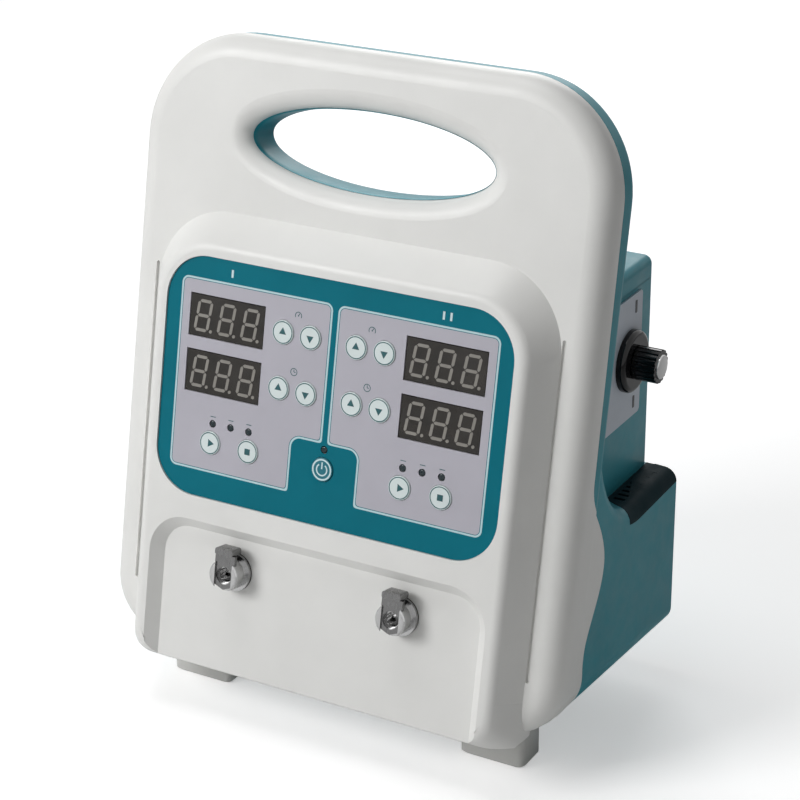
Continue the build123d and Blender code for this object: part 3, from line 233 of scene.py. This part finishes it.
# printed film: its fields and tab are (u, v, half width, half height) in millimetres on the face
film = dict(
    fields=((-39.3, -35.15, 36.7, 41.15), (39.15, -35.15, 36.85, 41.15)), corner=2.2,
    tab=(0.0, -82.0, 17.4, 30.0), tabCorner=5.5, tabBlend=2.5, lineAt=0.7, lineHalf=0.42,
    teal=(0.0, 0.155, 0.210), grey=(0.490, 0.480, 0.535), line=(0.52, 0.70, 0.73),
    clouds=(30, 4, 0.6), tealVary=0.06, greyVary=0.03, wear=(80, 4), rough=(0.34, 0.44), shine=0.12,
    size=2400, grain=0.05, depth=0.0003,
)


class Sums:
    # adds Math nodes to a tree
    def __init__(self, tree):
        self.tree = tree

    def __call__(self, operation, *values):
        node = self.tree.nodes.new("ShaderNodeMath")
        node.operation = operation
        for socket, value in zip(node.inputs, values):
            if isinstance(value, (int, float)):
                socket.default_value = value
            else:
                self.tree.links.new(value, socket)
        return node.outputs[0]


def roundedBox(sums, u, v, box, corner):
    # distance to a rounded rectangle, negative inside
    cu, cv, halfU, halfV = box
    qu = sums("ADD", sums("ABSOLUTE", sums("SUBTRACT", u, cu)), corner - halfU)
    qv = sums("ADD", sums("ABSOLUTE", sums("SUBTRACT", v, cv)), corner - halfV)
    outU, outV = sums("MAXIMUM", qu, 0.0), sums("MAXIMUM", qv, 0.0)
    far = sums("SQRT", sums("ADD", sums("MULTIPLY", outU, outU), sums("MULTIPLY", outV, outV)))
    near = sums("MINIMUM", sums("MAXIMUM", qu, qv), 0.0)
    return sums("SUBTRACT", sums("ADD", far, near), corner)


def filmFinish():
    material, tree, shader, place = newMaterial("printedFilm")
    sums = Sums(tree)
    onFace = tree.nodes.new("ShaderNodeMapping")
    onFace.vector_type = "TEXTURE"
    onFace.inputs["Location"].default_value = faceOrigin
    onFace.inputs["Rotation"].default_value = (radians(90) - lean, 0, 0)
    onFace.inputs["Scale"].default_value = (mm, mm, mm)
    tree.links.new(place, onFace.inputs["Vector"])
    split = tree.nodes.new("ShaderNodeSeparateXYZ")
    tree.links.new(onFace.outputs["Vector"], split.inputs["Vector"])
    u, v = split.outputs["X"], split.outputs["Y"]
    tab = roundedBox(sums, u, v, film["tab"], film["tabCorner"])
    fields = sums("MINIMUM", *(roundedBox(sums, u, v, field, film["corner"]) for field in film["fields"]))
    edge = sums("SMOOTH_MAX", fields, sums("MULTIPLY", tab, -1.0), film["tabBlend"])
    inside = sums("LESS_THAN", edge, 0.0)
    onLine = sums("LESS_THAN", sums("ABSOLUTE", sums("SUBTRACT", edge, film["lineAt"])), film["lineHalf"])
    cloudy = spread(tree, noise(tree, place, *film["clouds"]), 0, 1)
    teal, grey = (
        blendColours(tree, cloudy, shade(film[name], 1 - film[vary]), shade(film[name], 1 + film[vary]))
        for name, vary in (("teal", "tealVary"), ("grey", "greyVary"))
    )
    ground = blendColours(tree, inside, teal, grey)
    tree.links.new(blendColours(tree, onLine, ground, film["line"]), shader.inputs["Base Color"])
    worn = spread(tree, noise(tree, place, *film["wear"]), *film["rough"])
    tree.links.new(worn, shader.inputs["Roughness"])
    bump(tree, shader, noise(tree, place, film["size"], 2), film["grain"], film["depth"])
    shader.inputs["Specular IOR Level"].default_value = film["shine"]
    return material


finish = {name: mouldedFinish(name) for name in finishes}
finish.update({name: metalFinish(name) for name in metals})
finish["circuitBoard"] = boardFinish()
finish["displayWindow"] = windowFinish()
finish["printedFilm"] = filmFinish()

slotFinish = {
    "shell_white": "shellWhite", "shell_teal": "shellTeal", "overlay_film": "printedFilm",
    "display_window": "displayWindow", "key_white": "keyWhite", "lamp_dark": "lampDark",
    "circuit_board": "circuitBoard", "black_plastic": "blackPlastic", "gloss_black": "glossBlack",
    "knob_black": "knobBlack", "steel": "zincSteel", "chrome_metal": "brightChrome",
    "brass_metal": "turnedBrass", "aluminium_sheet": "aluminiumSheet", "pump_metal": "pumpCan",
    "black_rubber": "blackRubber", "hose_rubber": "hoseRubber", "battery_wrap": "batteryWrap",
    "foot_grey": "footGrey", "plate_grey": "plateGrey", "vent_dark": "ventBlackAndPaintedShade",
}
nodeFinish = {"key_power": "keyTeal", "coupling_latch_a": "latchSteel", "coupling_latch_b": "latchSteel"}
for part in frame["record"]["subparts"]:
    named = nodeFinish.get(part["node"], slotFinish[part["material_slot"]])
    for socket in nodes[part["node"]].material_slots:
        socket.material = finish[named]
print("finishes on the frame")


toModel = Matrix.Scale(mm, 4)


def finishPiece(bm, name, material, body, matrix, sharp=40):
    # places the mesh, gives it its finish and ties the piece to its body and slot
    bmesh.ops.remove_doubles(bm, verts=bm.verts, dist=1e-6)
    bmesh.ops.recalc_face_normals(bm, faces=bm.faces)
    bmesh.ops.transform(bm, matrix=matrix, verts=bm.verts)
    mesh = bpy.data.meshes.new(name)
    bm.to_mesh(mesh)
    bm.free()
    mesh.shade_smooth()
    mesh.set_sharp_from_angle(angle=radians(sharp))
    piece = bpy.data.objects.new(name, mesh)
    bpy.context.scene.collection.objects.link(piece)
    mesh.materials.append(finish[material])
    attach(piece, body)
    return piece


def thicken(bm, height):
    # flat faces get their thickness
    grown = bmesh.ops.extrude_face_region(bm, geom=bm.faces[:])
    top = [g for g in grown["geom"] if isinstance(g, bmesh.types.BMVert)]
    bmesh.ops.translate(bm, verts=top, vec=(0, 0, height))


def flatFace(bm, corners):
    bm.faces.new([bm.verts.new((*c, 0)) for c in corners])


def bar(bm, start, end, width):
    # a straight stroke between two points
    start, end = Vector(start), Vector(end)
    along = (end - start).normalized()
    side = Vector((-along.y, along.x)) * width / 2
    flatFace(bm, (start - side, end - side, end + side, start + side))


def arc(bm, centre, radius, width, start=0, sweep=360, steps=48):
    # a curved stroke, spun from its first edge
    centre = Vector((*centre, 0))
    turn = Vector((cos(radians(start)), sin(radians(start)), 0))
    ends = [bm.verts.new(centre + turn * (radius + side * width / 2)) for side in (-1, 1)]
    edge = bm.edges.new(ends)
    bmesh.ops.spin(
        bm, geom=[*ends, edge], cent=centre, axis=(0, 0, 1), angle=radians(sweep), steps=steps,
        use_merge=sweep == 360,
    )


def disc(bm, centre, radius, segments=24, turned=0):
    # a filled circle, or with few segments a triangle or a square
    place = Matrix.Translation((*centre, 0)) @ Matrix.Rotation(radians(turned), 4, "Z")
    bmesh.ops.create_circle(bm, cap_ends=True, radius=radius, segments=segments, matrix=place)


def facePlace(u, v, out):
    # from millimetres on the face to the model
    return faceMatrix @ Matrix.Translation((u * mm, v * mm, out * mm)) @ toModel


# digits of the displays: unlit segments and points of three numbers
digits = dict(
    count=3, height=14.2, width=7.6, stroke=1.35, pitch=11.9, lean=8.0, first=-12.1, gap=0.25,
    point=0.75, pointOff=1.9, lift=0.06,
)
displayPlaces = {
    "display_a_pressure": (-53.25, -9.25), "display_a_time": (-53.25, -33.75),
    "display_b_pressure": (53.25, -9.25), "display_b_time": (53.25, -33.75),
}


def segment(bm, start, end):
    # one pointed stroke of a digit
    start, end = Vector(start), Vector(end)
    along = (end - start).normalized()
    start, end = start + along * digits["gap"], end - along * digits["gap"]
    side = Vector((-along.y, along.x)) * digits["stroke"] / 2
    tip = along * digits["stroke"] / 2
    flatFace(bm, (start, start + tip - side, end - tip - side, end, end - tip + side, start + tip + side))


slant = Matrix(((1, tan(radians(digits["lean"])), 0, 0), (0, 1, 0, 0), (0, 0, 1, 0), (0, 0, 0, 1)))
for node, (u, v) in displayPlaces.items():
    bm = bmesh.new()
    w, h = digits["width"] / 2 - digits["stroke"] / 2, digits["height"] / 2 - digits["stroke"] / 2
    for step in range(digits["count"]):
        x = digits["first"] + step * digits["pitch"]
        for y in (h, 0, -h):
            segment(bm, (x - w, y), (x + w, y))
        for low in (0, -h):
            for end in (x - w, x + w):
                segment(bm, (end, low), (end, low + h))
        disc(bm, (x + w + digits["pointOff"], -h), digits["point"], 16)
    bmesh.ops.transform(bm, matrix=slant, verts=bm.verts)
    thicken(bm, digits["lift"])
    name = node.replace("display", "digits")
    finishPiece(bm, name, "segmentGrey", "housing", facePlace(u, v, displayTop))
print("digits on the displays")

# signs printed on the keys, whose pairs stand round these places on the face
signs = dict(ring=4.62, ringWidth=0.42, triangle=2.0, shift=0.25, square=1.9, height=0.05)
pairs = dict(arrowU=17.9, arrowHalf=6.75, pressure=-9.2, time=-33.5, runU=47.2, runHalf=9.7, runV=-64.2)
keyPlaces = {}
for side, channel in ((-1, "a"), (1, "b")):
    u, half = side * pairs["arrowU"], pairs["arrowHalf"]
    for row in ("pressure", "time"):
        keyPlaces[f"key_{channel}_{row}_up"] = (u - half, pairs[row], "up")
        keyPlaces[f"key_{channel}_{row}_down"] = (u + half, pairs[row], "down")
    u, half = side * pairs["runU"], pairs["runHalf"]
    keyPlaces[f"key_{channel}_start"] = (u - half, pairs["runV"], "start")
    keyPlaces[f"key_{channel}_stop"] = (u + half, pairs["runV"], "stop")
turns = {"up": 90, "down": -90, "start": 0}
for node, (u, v, kind) in keyPlaces.items():
    bm = bmesh.new()
    arc(bm, (0, 0), signs["ring"], signs["ringWidth"])
    if kind == "stop":
        disc(bm, (0, 0), signs["square"], 4, 45)
    else:
        turn, shift = radians(turns[kind]), signs["shift"]
        disc(bm, (shift * cos(turn), shift * sin(turn)), signs["triangle"], 3, turns[kind] - 90)
    thicken(bm, signs["height"])
    finishPiece(bm, node.replace("key_", "sign_"), "inkTeal", node, facePlace(u, v, keyTop))

power = dict(ring=4.35, ringWidth=0.7, arc=2.5, stroke=0.6, start=125, sweep=290, bar=(0.3, 3.3))
bm = bmesh.new()
arc(bm, (0, 0), power["ring"], power["ringWidth"])
arc(bm, (0, 0), power["arc"], power["stroke"], power["start"], power["sweep"], 40)
bar(bm, (0, power["bar"][0]), (0, power["bar"][1]), power["stroke"])
thicken(bm, signs["height"])
finishPiece(bm, "sign_power", "inkPale", "key_power", facePlace(0, pairs["runV"], keyTop))
print("signs on the keys")

# small drawings printed on the film, where a real one has words
marks = dict(
    stroke=0.32, radius=1.55, lift=0.04, above=8.3, hub=0.3, needle=(0.75, 60), dial=(-30, 240),
    minute=0.7, hour=0.55, lampStep=9.2, dashHalf=1.3, dashV=-52.4,
)


def gaugeMark(bm, u, v):
    r = marks["radius"]
    share, turn = marks["needle"]
    tip = (u + share * r * cos(radians(turn)), v + share * r * sin(radians(turn)))
    arc(bm, (u, v), r, marks["stroke"], *marks["dial"], 30)
    bar(bm, (u, v), tip, marks["stroke"])
    disc(bm, (u, v), marks["hub"], 12)


def clockMark(bm, u, v):
    r = marks["radius"]
    arc(bm, (u, v), r, marks["stroke"], 0, 360, 36)
    bar(bm, (u, v), (u, v + marks["minute"] * r), marks["stroke"])
    bar(bm, (u, v), (u + marks["hour"] * r, v), marks["stroke"])


bm = bmesh.new()
for side in (-1, 1):
    gaugeMark(bm, side * pairs["arrowU"], pairs["pressure"] + marks["above"])
    clockMark(bm, side * pairs["arrowU"], pairs["time"] + marks["above"])
    for step in (-1, 0, 1):
        u, v, half = side * pairs["runU"] + step * marks["lampStep"], marks["dashV"], marks["dashHalf"]
        bar(bm, (u - half, v), (u + half, v), marks["stroke"])
thicken(bm, marks["lift"])
finishPiece(bm, "filmDrawings", "inkTeal", "housing", facePlace(0, 0, overlayFace))

# one bar for the first channel, two for the second
channels = dict(bars=((-52.0, 1), (52.0, 2)), pitch=3.4, low=9.6, high=13.0, width=1.0)
bm = bmesh.new()
for centre, count in channels["bars"]:
    for step in range(count):
        u = centre + (step - (count - 1) / 2) * channels["pitch"]
        bar(bm, (u, channels["low"]), (u, channels["high"]), channels["width"])
thicken(bm, marks["lift"])
finishPiece(bm, "channelBars", "inkPale", "housing", facePlace(0, 0, overlayFace))
print("film printed")

# the latch springs, coils of wire that sit by their latches
spring = dict(
    u=41.7, v=-115.8, out=0.5, radius=1.2, wire=0.2, sides=8, turns=4, steps=16, height=4.75, start=0.225,
    keep=0.69,
)
for name, side in (("a", -1), ("b", 1)):
    bm = bmesh.new()
    spot = Matrix.Translation((spring["radius"], spring["start"], 0))
    bmesh.ops.create_circle(bm, radius=spring["wire"], segments=spring["sides"], matrix=spot)
    count = spring["turns"] * spring["steps"]
    climb = Vector((0, spring["height"] / count, 0))
    bmesh.ops.spin(
        bm, geom=bm.verts[:] + bm.edges[:], cent=(0, 0, 0), axis=(0, 1, 0), dvec=climb,
        angle=radians(360 * spring["turns"]), steps=count,
    )
    bmesh.ops.holes_fill(bm, edges=[e for e in bm.edges if e.is_boundary], sides=spring["sides"])
    seat = facePlace(side * spring["u"], spring["v"], spring["out"])
    piece = finishPiece(bm, f"latchSpring{name.upper()}", "zincSteel", "housing", seat)
    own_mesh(piece)
    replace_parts(piece, f"latch_spring_{name}")
print("springs wound")

# the bright end of the release knob, and the two dark marks on its plate
release = dict(
    y=46.0, z=161.0, knobEnd=111.4, capRadius=5.4, capHeight=1.0, plateFace=96.5,
    markY=51.9, markZ=(184.0, 139.5), markHalf=(0.9, 2.9), markLift=0.15, round=0.5,
)
capTurn = Matrix.Translation(Vector((release["knobEnd"], release["y"], release["z"])) * mm)
capTurn = capTurn @ Matrix.Rotation(radians(90), 4, "Y") @ toModel
bm = bmesh.new()
bmesh.ops.create_circle(bm, cap_ends=True, radius=release["capRadius"], segments=64)
thicken(bm, release["capHeight"])
rim = [e for e in bm.edges if all(v.co.z > release["capHeight"] - 0.01 for v in e.verts)]
bmesh.ops.bevel(bm, geom=rim, offset=release["round"], segments=4, profile=0.5, affect="EDGES", material=-1)
finishPiece(bm, "knobCap", "brightChrome", "release_knob", capTurn, 50)

quarters = ((-1, -1), (1, -1), (1, 1), (-1, 1))
halfY, halfZ = release["markHalf"]
bm = bmesh.new()
for z in release["markZ"]:
    flatFace(bm, [(release["markY"] + a * halfY, z + b * halfZ) for a, b in quarters])
bmesh.ops.bevel(
    bm, geom=bm.verts[:], offset=release["round"], segments=3, profile=0.5, affect="VERTICES", material=-1,
)
thicken(bm, release["markLift"])
wallTurn = Matrix(((0, 0, 1, release["plateFace"]), (1, 0, 0, 0), (0, 1, 0, 0), (0, 0, 0, 1)))
finishPiece(bm, "plateMarks", "plateMark", "housing", toModel @ wallTurn)
print("release valve dressed")


# helpers for the forms of the moulded shells that the frame keeps plainer, all in millimetres
def ring(bm, points):
    # a closed loop of edges
    verts = [bm.verts.new(p) for p in points]
    return [bm.edges.new((a, b)) for a, b in zip(verts, verts[1:] + verts[:1])]


def ringVerts(edges):
    return list(dict.fromkeys(v for e in edges for v in e.verts))


def grow(bm, edges):
    # draws faces out from a loop of edges and gives the new loop
    old = set(ringVerts(edges))
    grown = bmesh.ops.extrude_edge_only(bm, edges=edges)["geom"]
    return [g for g in grown if isinstance(g, bmesh.types.BMEdge) and not old.intersection(g.verts)]


def roundOff(bm, edges, offset, segments):
    bmesh.ops.bevel(
        bm, geom=edges, offset=offset, segments=segments, profile=0.5, affect="EDGES", material=-1,
    )


# the foot of the console runs back into the slab with tight lower corners
# each level: how far out, half width, lower edge, radius of the corner, inner side
chin = dict(
    levels=(
        (0.02, 89.05, -164.55, 11.0, 84.06), (-5.05, 92.42, -167.36, 10.6, 79.06),
        (-5.1, 92.45, -167.38, 10.6, 70.0), (-13.5, 98.05, -172.05, 10.0, 70.0),
        (-24.5, 98.05, -172.05, 10.0, 70.0),
    ),
    top=-147.0, rim=2.6, rimSteps=4, cut=-166.62, steps=8,
)
bm = bmesh.new()
for side in (-1, 1):
    rings = []
    for out, half, bottom, corner, inner in chin["levels"]:
        points = [(inner, chin["top"]), (half, chin["top"])]
        # where the inner side cuts into the corner, its arc stops there
        short = inner > half - corner
        most = acos((inner - half + corner) / corner) if short else radians(90)
        for step in range(chin["steps"] + 1 + short):
            a = most * step / (chin["steps"] + short)
            points.append((half - corner + corner * cos(a), bottom + corner - corner * sin(a)))
        if not short:
            points.append((inner, bottom))
        rings.append(ring(bm, [(side * u, v, out) for u, v in points]))
    for near, far in zip(rings, rings[1:]):
        bmesh.ops.bridge_loops(bm, edges=near + far)
    for end in (rings[0], rings[-1]):
        bmesh.ops.edgeloop_fill(bm, edges=end)
    roundOff(bm, rings[0][1:-1], chin["rim"], chin["rimSteps"])
# level with the underside of the shells
upright = Vector((0, cos(lean), sin(lean)))
cut = bmesh.ops.bisect_plane(
    bm, geom=[*bm.verts, *bm.edges, *bm.faces], plane_co=upright * chin["cut"], plane_no=upright,
    clear_inner=True,
)
bmesh.ops.holes_fill(bm, edges=[g for g in cut["geom_cut"] if isinstance(g, bmesh.types.BMEdge)], sides=0)
finishPiece(bm, "consoleFoot", "shellWhite", "housing", facePlace(0, 0, 0))
print("console foot made")

# the teal shell reaches forward round the opening of the handle, with a rounded front edge
collar = dict(
    v=69.0, half=57.88, low=16.88, round=8.5, roundEnd=-22.0, stations=(-19.0, -20.0, -21.0, -22.0, -34.0),
    segments=96, thick=0.1,
)
bm = bmesh.new()
bmesh.ops.create_circle(bm, cap_ends=False, radius=1, segments=collar["segments"])
edges = bm.edges[:]
wide, high = 1, 1
for index, out in enumerate(collar["stations"]):
    if index:
        edges = grow(bm, edges)
    past = max(0.0, out - collar["roundEnd"])
    flare = collar["round"] - (collar["round"] ** 2 - past ** 2) ** 0.5
    for v in ringVerts(edges):
        turn = Vector((v.co.x / wide, v.co.y / high)).normalized()
        v.co = (turn.x * (collar["half"] + flare), turn.y * (collar["low"] + flare), out)
    wide, high = collar["half"], collar["low"]
bmesh.ops.recalc_face_normals(bm, faces=bm.faces)
bmesh.ops.solidify(bm, geom=bm.faces[:], thickness=collar["thick"])
finishPiece(bm, "handleCollar", "shellTeal", "housing", facePlace(0, collar["v"], 0))
print("handle collar made")

# square shoulders on top of the middle box, and a post down each of its sides
hood = dict(
    half=95.55, rear=71.25, top=201.5, base=191.6, front=-34.0, sideRound=4.0, sideSteps=6,
    rearRound=2.5, rearSteps=3, post=8.1, postFront=-12.0, postLow=101.9, postHigh=191.9,
)
nearBy = 0.01


def slabPlane(z, out):
    # how far back a point of the slab is at a height
    v = (z - faceZ - out * sin(lean)) / cos(lean)
    return faceY + v * sin(lean) - out * cos(lean)


bm = bmesh.new()
for v in bmesh.ops.create_cube(bm, size=2)["verts"]:
    z = hood["top"] if v.co.z > 0 else hood["base"]
    v.co = (hood["half"] * v.co.x, hood["rear"] if v.co.y > 0 else slabPlane(z, hood["front"]), z)
rim = [
    e for e in bm.edges
    if e.verts[0].co.x == e.verts[1].co.x and all(v.co.z == hood["top"] for v in e.verts)
]
roundOff(bm, rim, hood["sideRound"], hood["sideSteps"])
rim = [
    e for e in bm.edges
    if all(abs(v.co.y - hood["rear"]) < nearBy for v in e.verts)
    and any(v.co.z > hood["base"] + nearBy for v in e.verts)
]
roundOff(bm, rim, hood["rearRound"], hood["rearSteps"])
for side in (-1, 1):
    post = bmesh.ops.create_cube(bm, size=2)["verts"]
    for v in post:
        x = hood["half"] if v.co.x * side > 0 else hood["half"] - hood["post"]
        y = hood["rear"] if v.co.y > 0 else hood["postFront"]
        v.co = (side * x, y, hood["postHigh"] if v.co.z > 0 else hood["postLow"])
    corner = [
        v for v in post
        if abs(abs(v.co.x) - hood["half"]) < nearBy and abs(v.co.y - hood["rear"]) < nearBy
    ]
    roundOff(bm, [bm.edges.get(corner)], hood["rearRound"], hood["rearSteps"])
finishPiece(bm, "boxShoulders", "shellTeal", "housing", toModel, 35)
print("middle box squared")

# dark sheet laid over the ledge and its rounded edge as painted shade, open where the vent sits in it
# half: half width of the box in front, its y, half width at the rear, its y
ledge = dict(
    flat=(95.7, 96.6, 104.6), ventY=(29.0, 63.0), rear=71.15, top=102.0, round=6.0, lift=0.1, thick=0.3,
    half=(113.0, -58.0, 110.5, 71.2), middleY=25.0, fairing=(29.2, 42.0, 58.0), start=(28.0, 18.5),
    steps=6, frontRows=5,
)


def ledgeHalf(y):
    front, frontY, rear, rearY = ledge["half"]
    return front + (rear - front) * (y - frontY) / (rearY - frontY)


def ledgeTop(y):
    # height and slope of the ledge, which sweeps up to the slab in front
    centre, reach, rise = ledge["fairing"]
    t = max(0.0, (centre - y) / reach)
    drop = (1 - t * t) ** 0.5
    return ledge["top"] + rise * (1 - drop), rise / reach * t / drop


def shadeSheetPoint(i, j):
    # column i runs outward, first over the flat and then round the edge, and row j runs to the rear
    flat, r = ledge["flat"], ledge["round"]
    a = radians(90) * max(0, i - len(flat)) / ledge["steps"]
    middle = ledgeHalf(ledge["middleY"])
    near = flat[i] if i < len(flat) else middle - r * (1 - sin(a))
    inner, outer = ledge["start"]
    begin = inner + (outer - inner) * (near - flat[0]) / (middle - flat[0])
    ahead = j - ledge["frontRows"]
    if ahead < 0:
        y = begin + (ledge["ventY"][0] - begin) * j / ledge["frontRows"]
    else:
        y = (*ledge["ventY"], ledge["rear"])[ahead]
    top, slope = ledgeTop(y)
    tilted = (1 + slope * slope) ** 0.5
    x = flat[i] if i < len(flat) else ledgeHalf(y) - r * (1 - sin(a)) + ledge["lift"] * sin(a)
    return x, y, top - (r * (1 - cos(a)) - ledge["lift"] * cos(a)) * tilted


across, along = len(ledge["flat"]) + ledge["steps"], ledge["frontRows"] + 2
for name, side in (("ledgeShadeSheetRight", 1), ("ledgeShadeSheetLeft", -1)):
    bm = bmesh.new()
    bmesh.ops.create_grid(bm, x_segments=across, y_segments=along, size=1)
    cells = {}
    for v in bm.verts:
        i, j = round((v.co.x + 1) / 2 * across), round((v.co.y + 1) / 2 * along)
        cells[v] = (i, j - ledge["frontRows"])
        x, y, z = shadeSheetPoint(i, j)
        v.co = (side * x, y, z)
    vent = [f for f in bm.faces if all(cells[v][0] in (1, 2) and cells[v][1] in (0, 1) for v in f.verts)]
    bmesh.ops.delete(bm, geom=vent, context="FACES")
    bmesh.ops.recalc_face_normals(bm, faces=bm.faces)
    bmesh.ops.solidify(bm, geom=bm.faces[:], thickness=ledge["thick"])
    finishPiece(bm, name, "ventBlackAndPaintedShade", "housing", toModel)
print("ledge inlays made")

# block feet, each with the sunk hole of its screw
# each block: its middle x and y, width, depth, and the x and y of its screw
feet = dict(
    blocks=((75.2, -31.0, 31.0, 18.0, 74.0, -26.8), (56.0, 44.2, 28.0, 15.0, 56.0, 44.2)),
    height=24.0, round=3.0, roundSteps=5, edge=1.2, hole=3.1, sink=12.0,
)
bm = bmesh.new()
for side in (-1, 1):
    for x, y, width, depth, screwX, screwY in feet["blocks"]:
        base = ring(bm, [(side * x + a * width / 2, y + b * depth / 2, 0) for a, b in quarters])
        bmesh.ops.bevel(
            bm, geom=ringVerts(base), offset=feet["round"], segments=feet["roundSteps"], profile=0.5,
            affect="VERTICES", material=-1,
        )
        base = [e for e in bm.edges if e.is_wire]
        top = grow(bm, base)
        bmesh.ops.translate(bm, verts=ringVerts(top), vec=(0, 0, feet["height"]))
        bmesh.ops.edgeloop_fill(bm, edges=top)
        # the sole is drawn in by the edge's width, and its hole goes up to the screw's head
        sole = grow(bm, base)
        for v in ringVerts(sole):
            v.co.x -= (v.co.x - side * x) * feet["edge"] / (width / 2)
            v.co.y -= (v.co.y - y) * feet["edge"] / (depth / 2)
        bmesh.ops.translate(bm, verts=ringVerts(base), vec=(0, 0, feet["edge"]))
        place = Matrix.Translation((side * screwX, screwY, 0))
        made = bmesh.ops.create_circle(bm, radius=feet["hole"], segments=len(sole), matrix=place)["verts"]
        hole = list(dict.fromkeys(e for v in made for e in v.link_edges))
        bmesh.ops.bridge_loops(bm, edges=sole + hole)
        deep = grow(bm, hole)
        bmesh.ops.translate(bm, verts=ringVerts(deep), vec=(0, 0, feet["sink"]))
        bmesh.ops.edgeloop_fill(bm, edges=deep)
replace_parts(finishPiece(bm, "blockFeet", "footGrey", "housing", toModel), "feet")
print("feet made")

# pale floor, with a little glow for the camera so that it fades into the white behind
stage = dict(size=4.0, floor=(0.86, 0.86, 0.86), clouds=(6, 3), bright=1.02, rough=0.9, glow=0.42)
bm = bmesh.new()
bmesh.ops.create_grid(bm, x_segments=2, y_segments=2, size=stage["size"])
floorMesh = bpy.data.meshes.new("floor")
bm.to_mesh(floorMesh)
bm.free()
floor = bpy.data.objects.new("floor", floorMesh)
bpy.context.scene.collection.objects.link(floor)
floorMaterial, tree, shader, place = newMaterial("paleFloor")
cloudy = spread(tree, noise(tree, place, *stage["clouds"]), 0, 1)
tint = blendColours(tree, cloudy, stage["floor"], shade(stage["floor"], stage["bright"]))
tree.links.new(tint, shader.inputs["Base Color"])
shader.inputs["Roughness"].default_value = stage["rough"]
shader.inputs["Emission Color"].default_value = (1, 1, 1, 1)
rays = tree.nodes.new("ShaderNodeLightPath").outputs
glow = spread(tree, rays["Is Camera Ray"], 0, stage["glow"], 0, 1)
tree.links.new(glow, shader.inputs["Emission Strength"])
floorMesh.materials.append(floorMaterial)

# the camera, glass and metal see a white studio, and the soft light that it gives is weaker
studio = dict(ambient=0.11, white=1.0)
world = bpy.data.worlds.new("studio")
bpy.context.scene.world = world
world.use_nodes = True
tree = world.node_tree
ground = tree.nodes["Background"]
ground.inputs["Color"].default_value = (1, 1, 1, 1)
sums = Sums(tree)
rays = tree.nodes.new("ShaderNodeLightPath").outputs
seen = sums("MAXIMUM", rays["Is Camera Ray"], rays["Is Glossy Ray"])
seen = sums("MAXIMUM", seen, rays["Is Transmission Ray"])
tree.links.new(spread(tree, seen, studio["ambient"], studio["white"], 0, 1), ground.inputs["Strength"])

# soft lamps: name, place, size, power
lamps = {
    "keyLamp": dict(place=(-0.95, -1.3, 1.05), size=0.8, power=19.5),
    "topLamp": dict(place=(-0.3, -0.1, 1.5), size=0.7, power=5),
    "backLamp": dict(place=(-0.5, 1.3, 1.0), size=0.9, power=9),
}
aim = Vector((0, 0, 0.14))
for name, part in lamps.items():
    data = bpy.data.lights.new(name, "AREA")
    data.size = part["size"]
    data.energy = part["power"]
    lamp = bpy.data.objects.new(name, data)
    lamp.location = part["place"]
    lamp.rotation_euler = (aim - Vector(part["place"])).to_track_quat("-Z", "Y").to_euler()
    bpy.context.scene.collection.objects.link(lamp)

# camera at the photograph's angle
view = dict(
    place=(0.4690, -0.8055, 0.5450), forward=(-0.45494, 0.79635, -0.39856), roll=-0.53,
    lens=104.4, sensor=36,
)
forward = Vector(view["forward"]).normalized()
right = forward.cross(Vector((0, 0, 1))).normalized()
upward = right.cross(forward)
turn = Matrix((right, upward, -forward)).transposed().to_4x4()
cameraData = bpy.data.cameras.new("camera")
cameraData.lens = view["lens"]
cameraData.sensor_width = view["sensor"]
camera = bpy.data.objects.new("camera", cameraData)
roll = Matrix.Rotation(radians(view["roll"]), 4, "Z")
camera.matrix_world = Matrix.Translation(view["place"]) @ turn @ roll
bpy.context.scene.collection.objects.link(camera)
bpy.context.scene.camera = camera
bpy.context.scene.view_settings.view_transform = "Standard"
print("lamps and camera set")

bpy.context.view_layer.update()
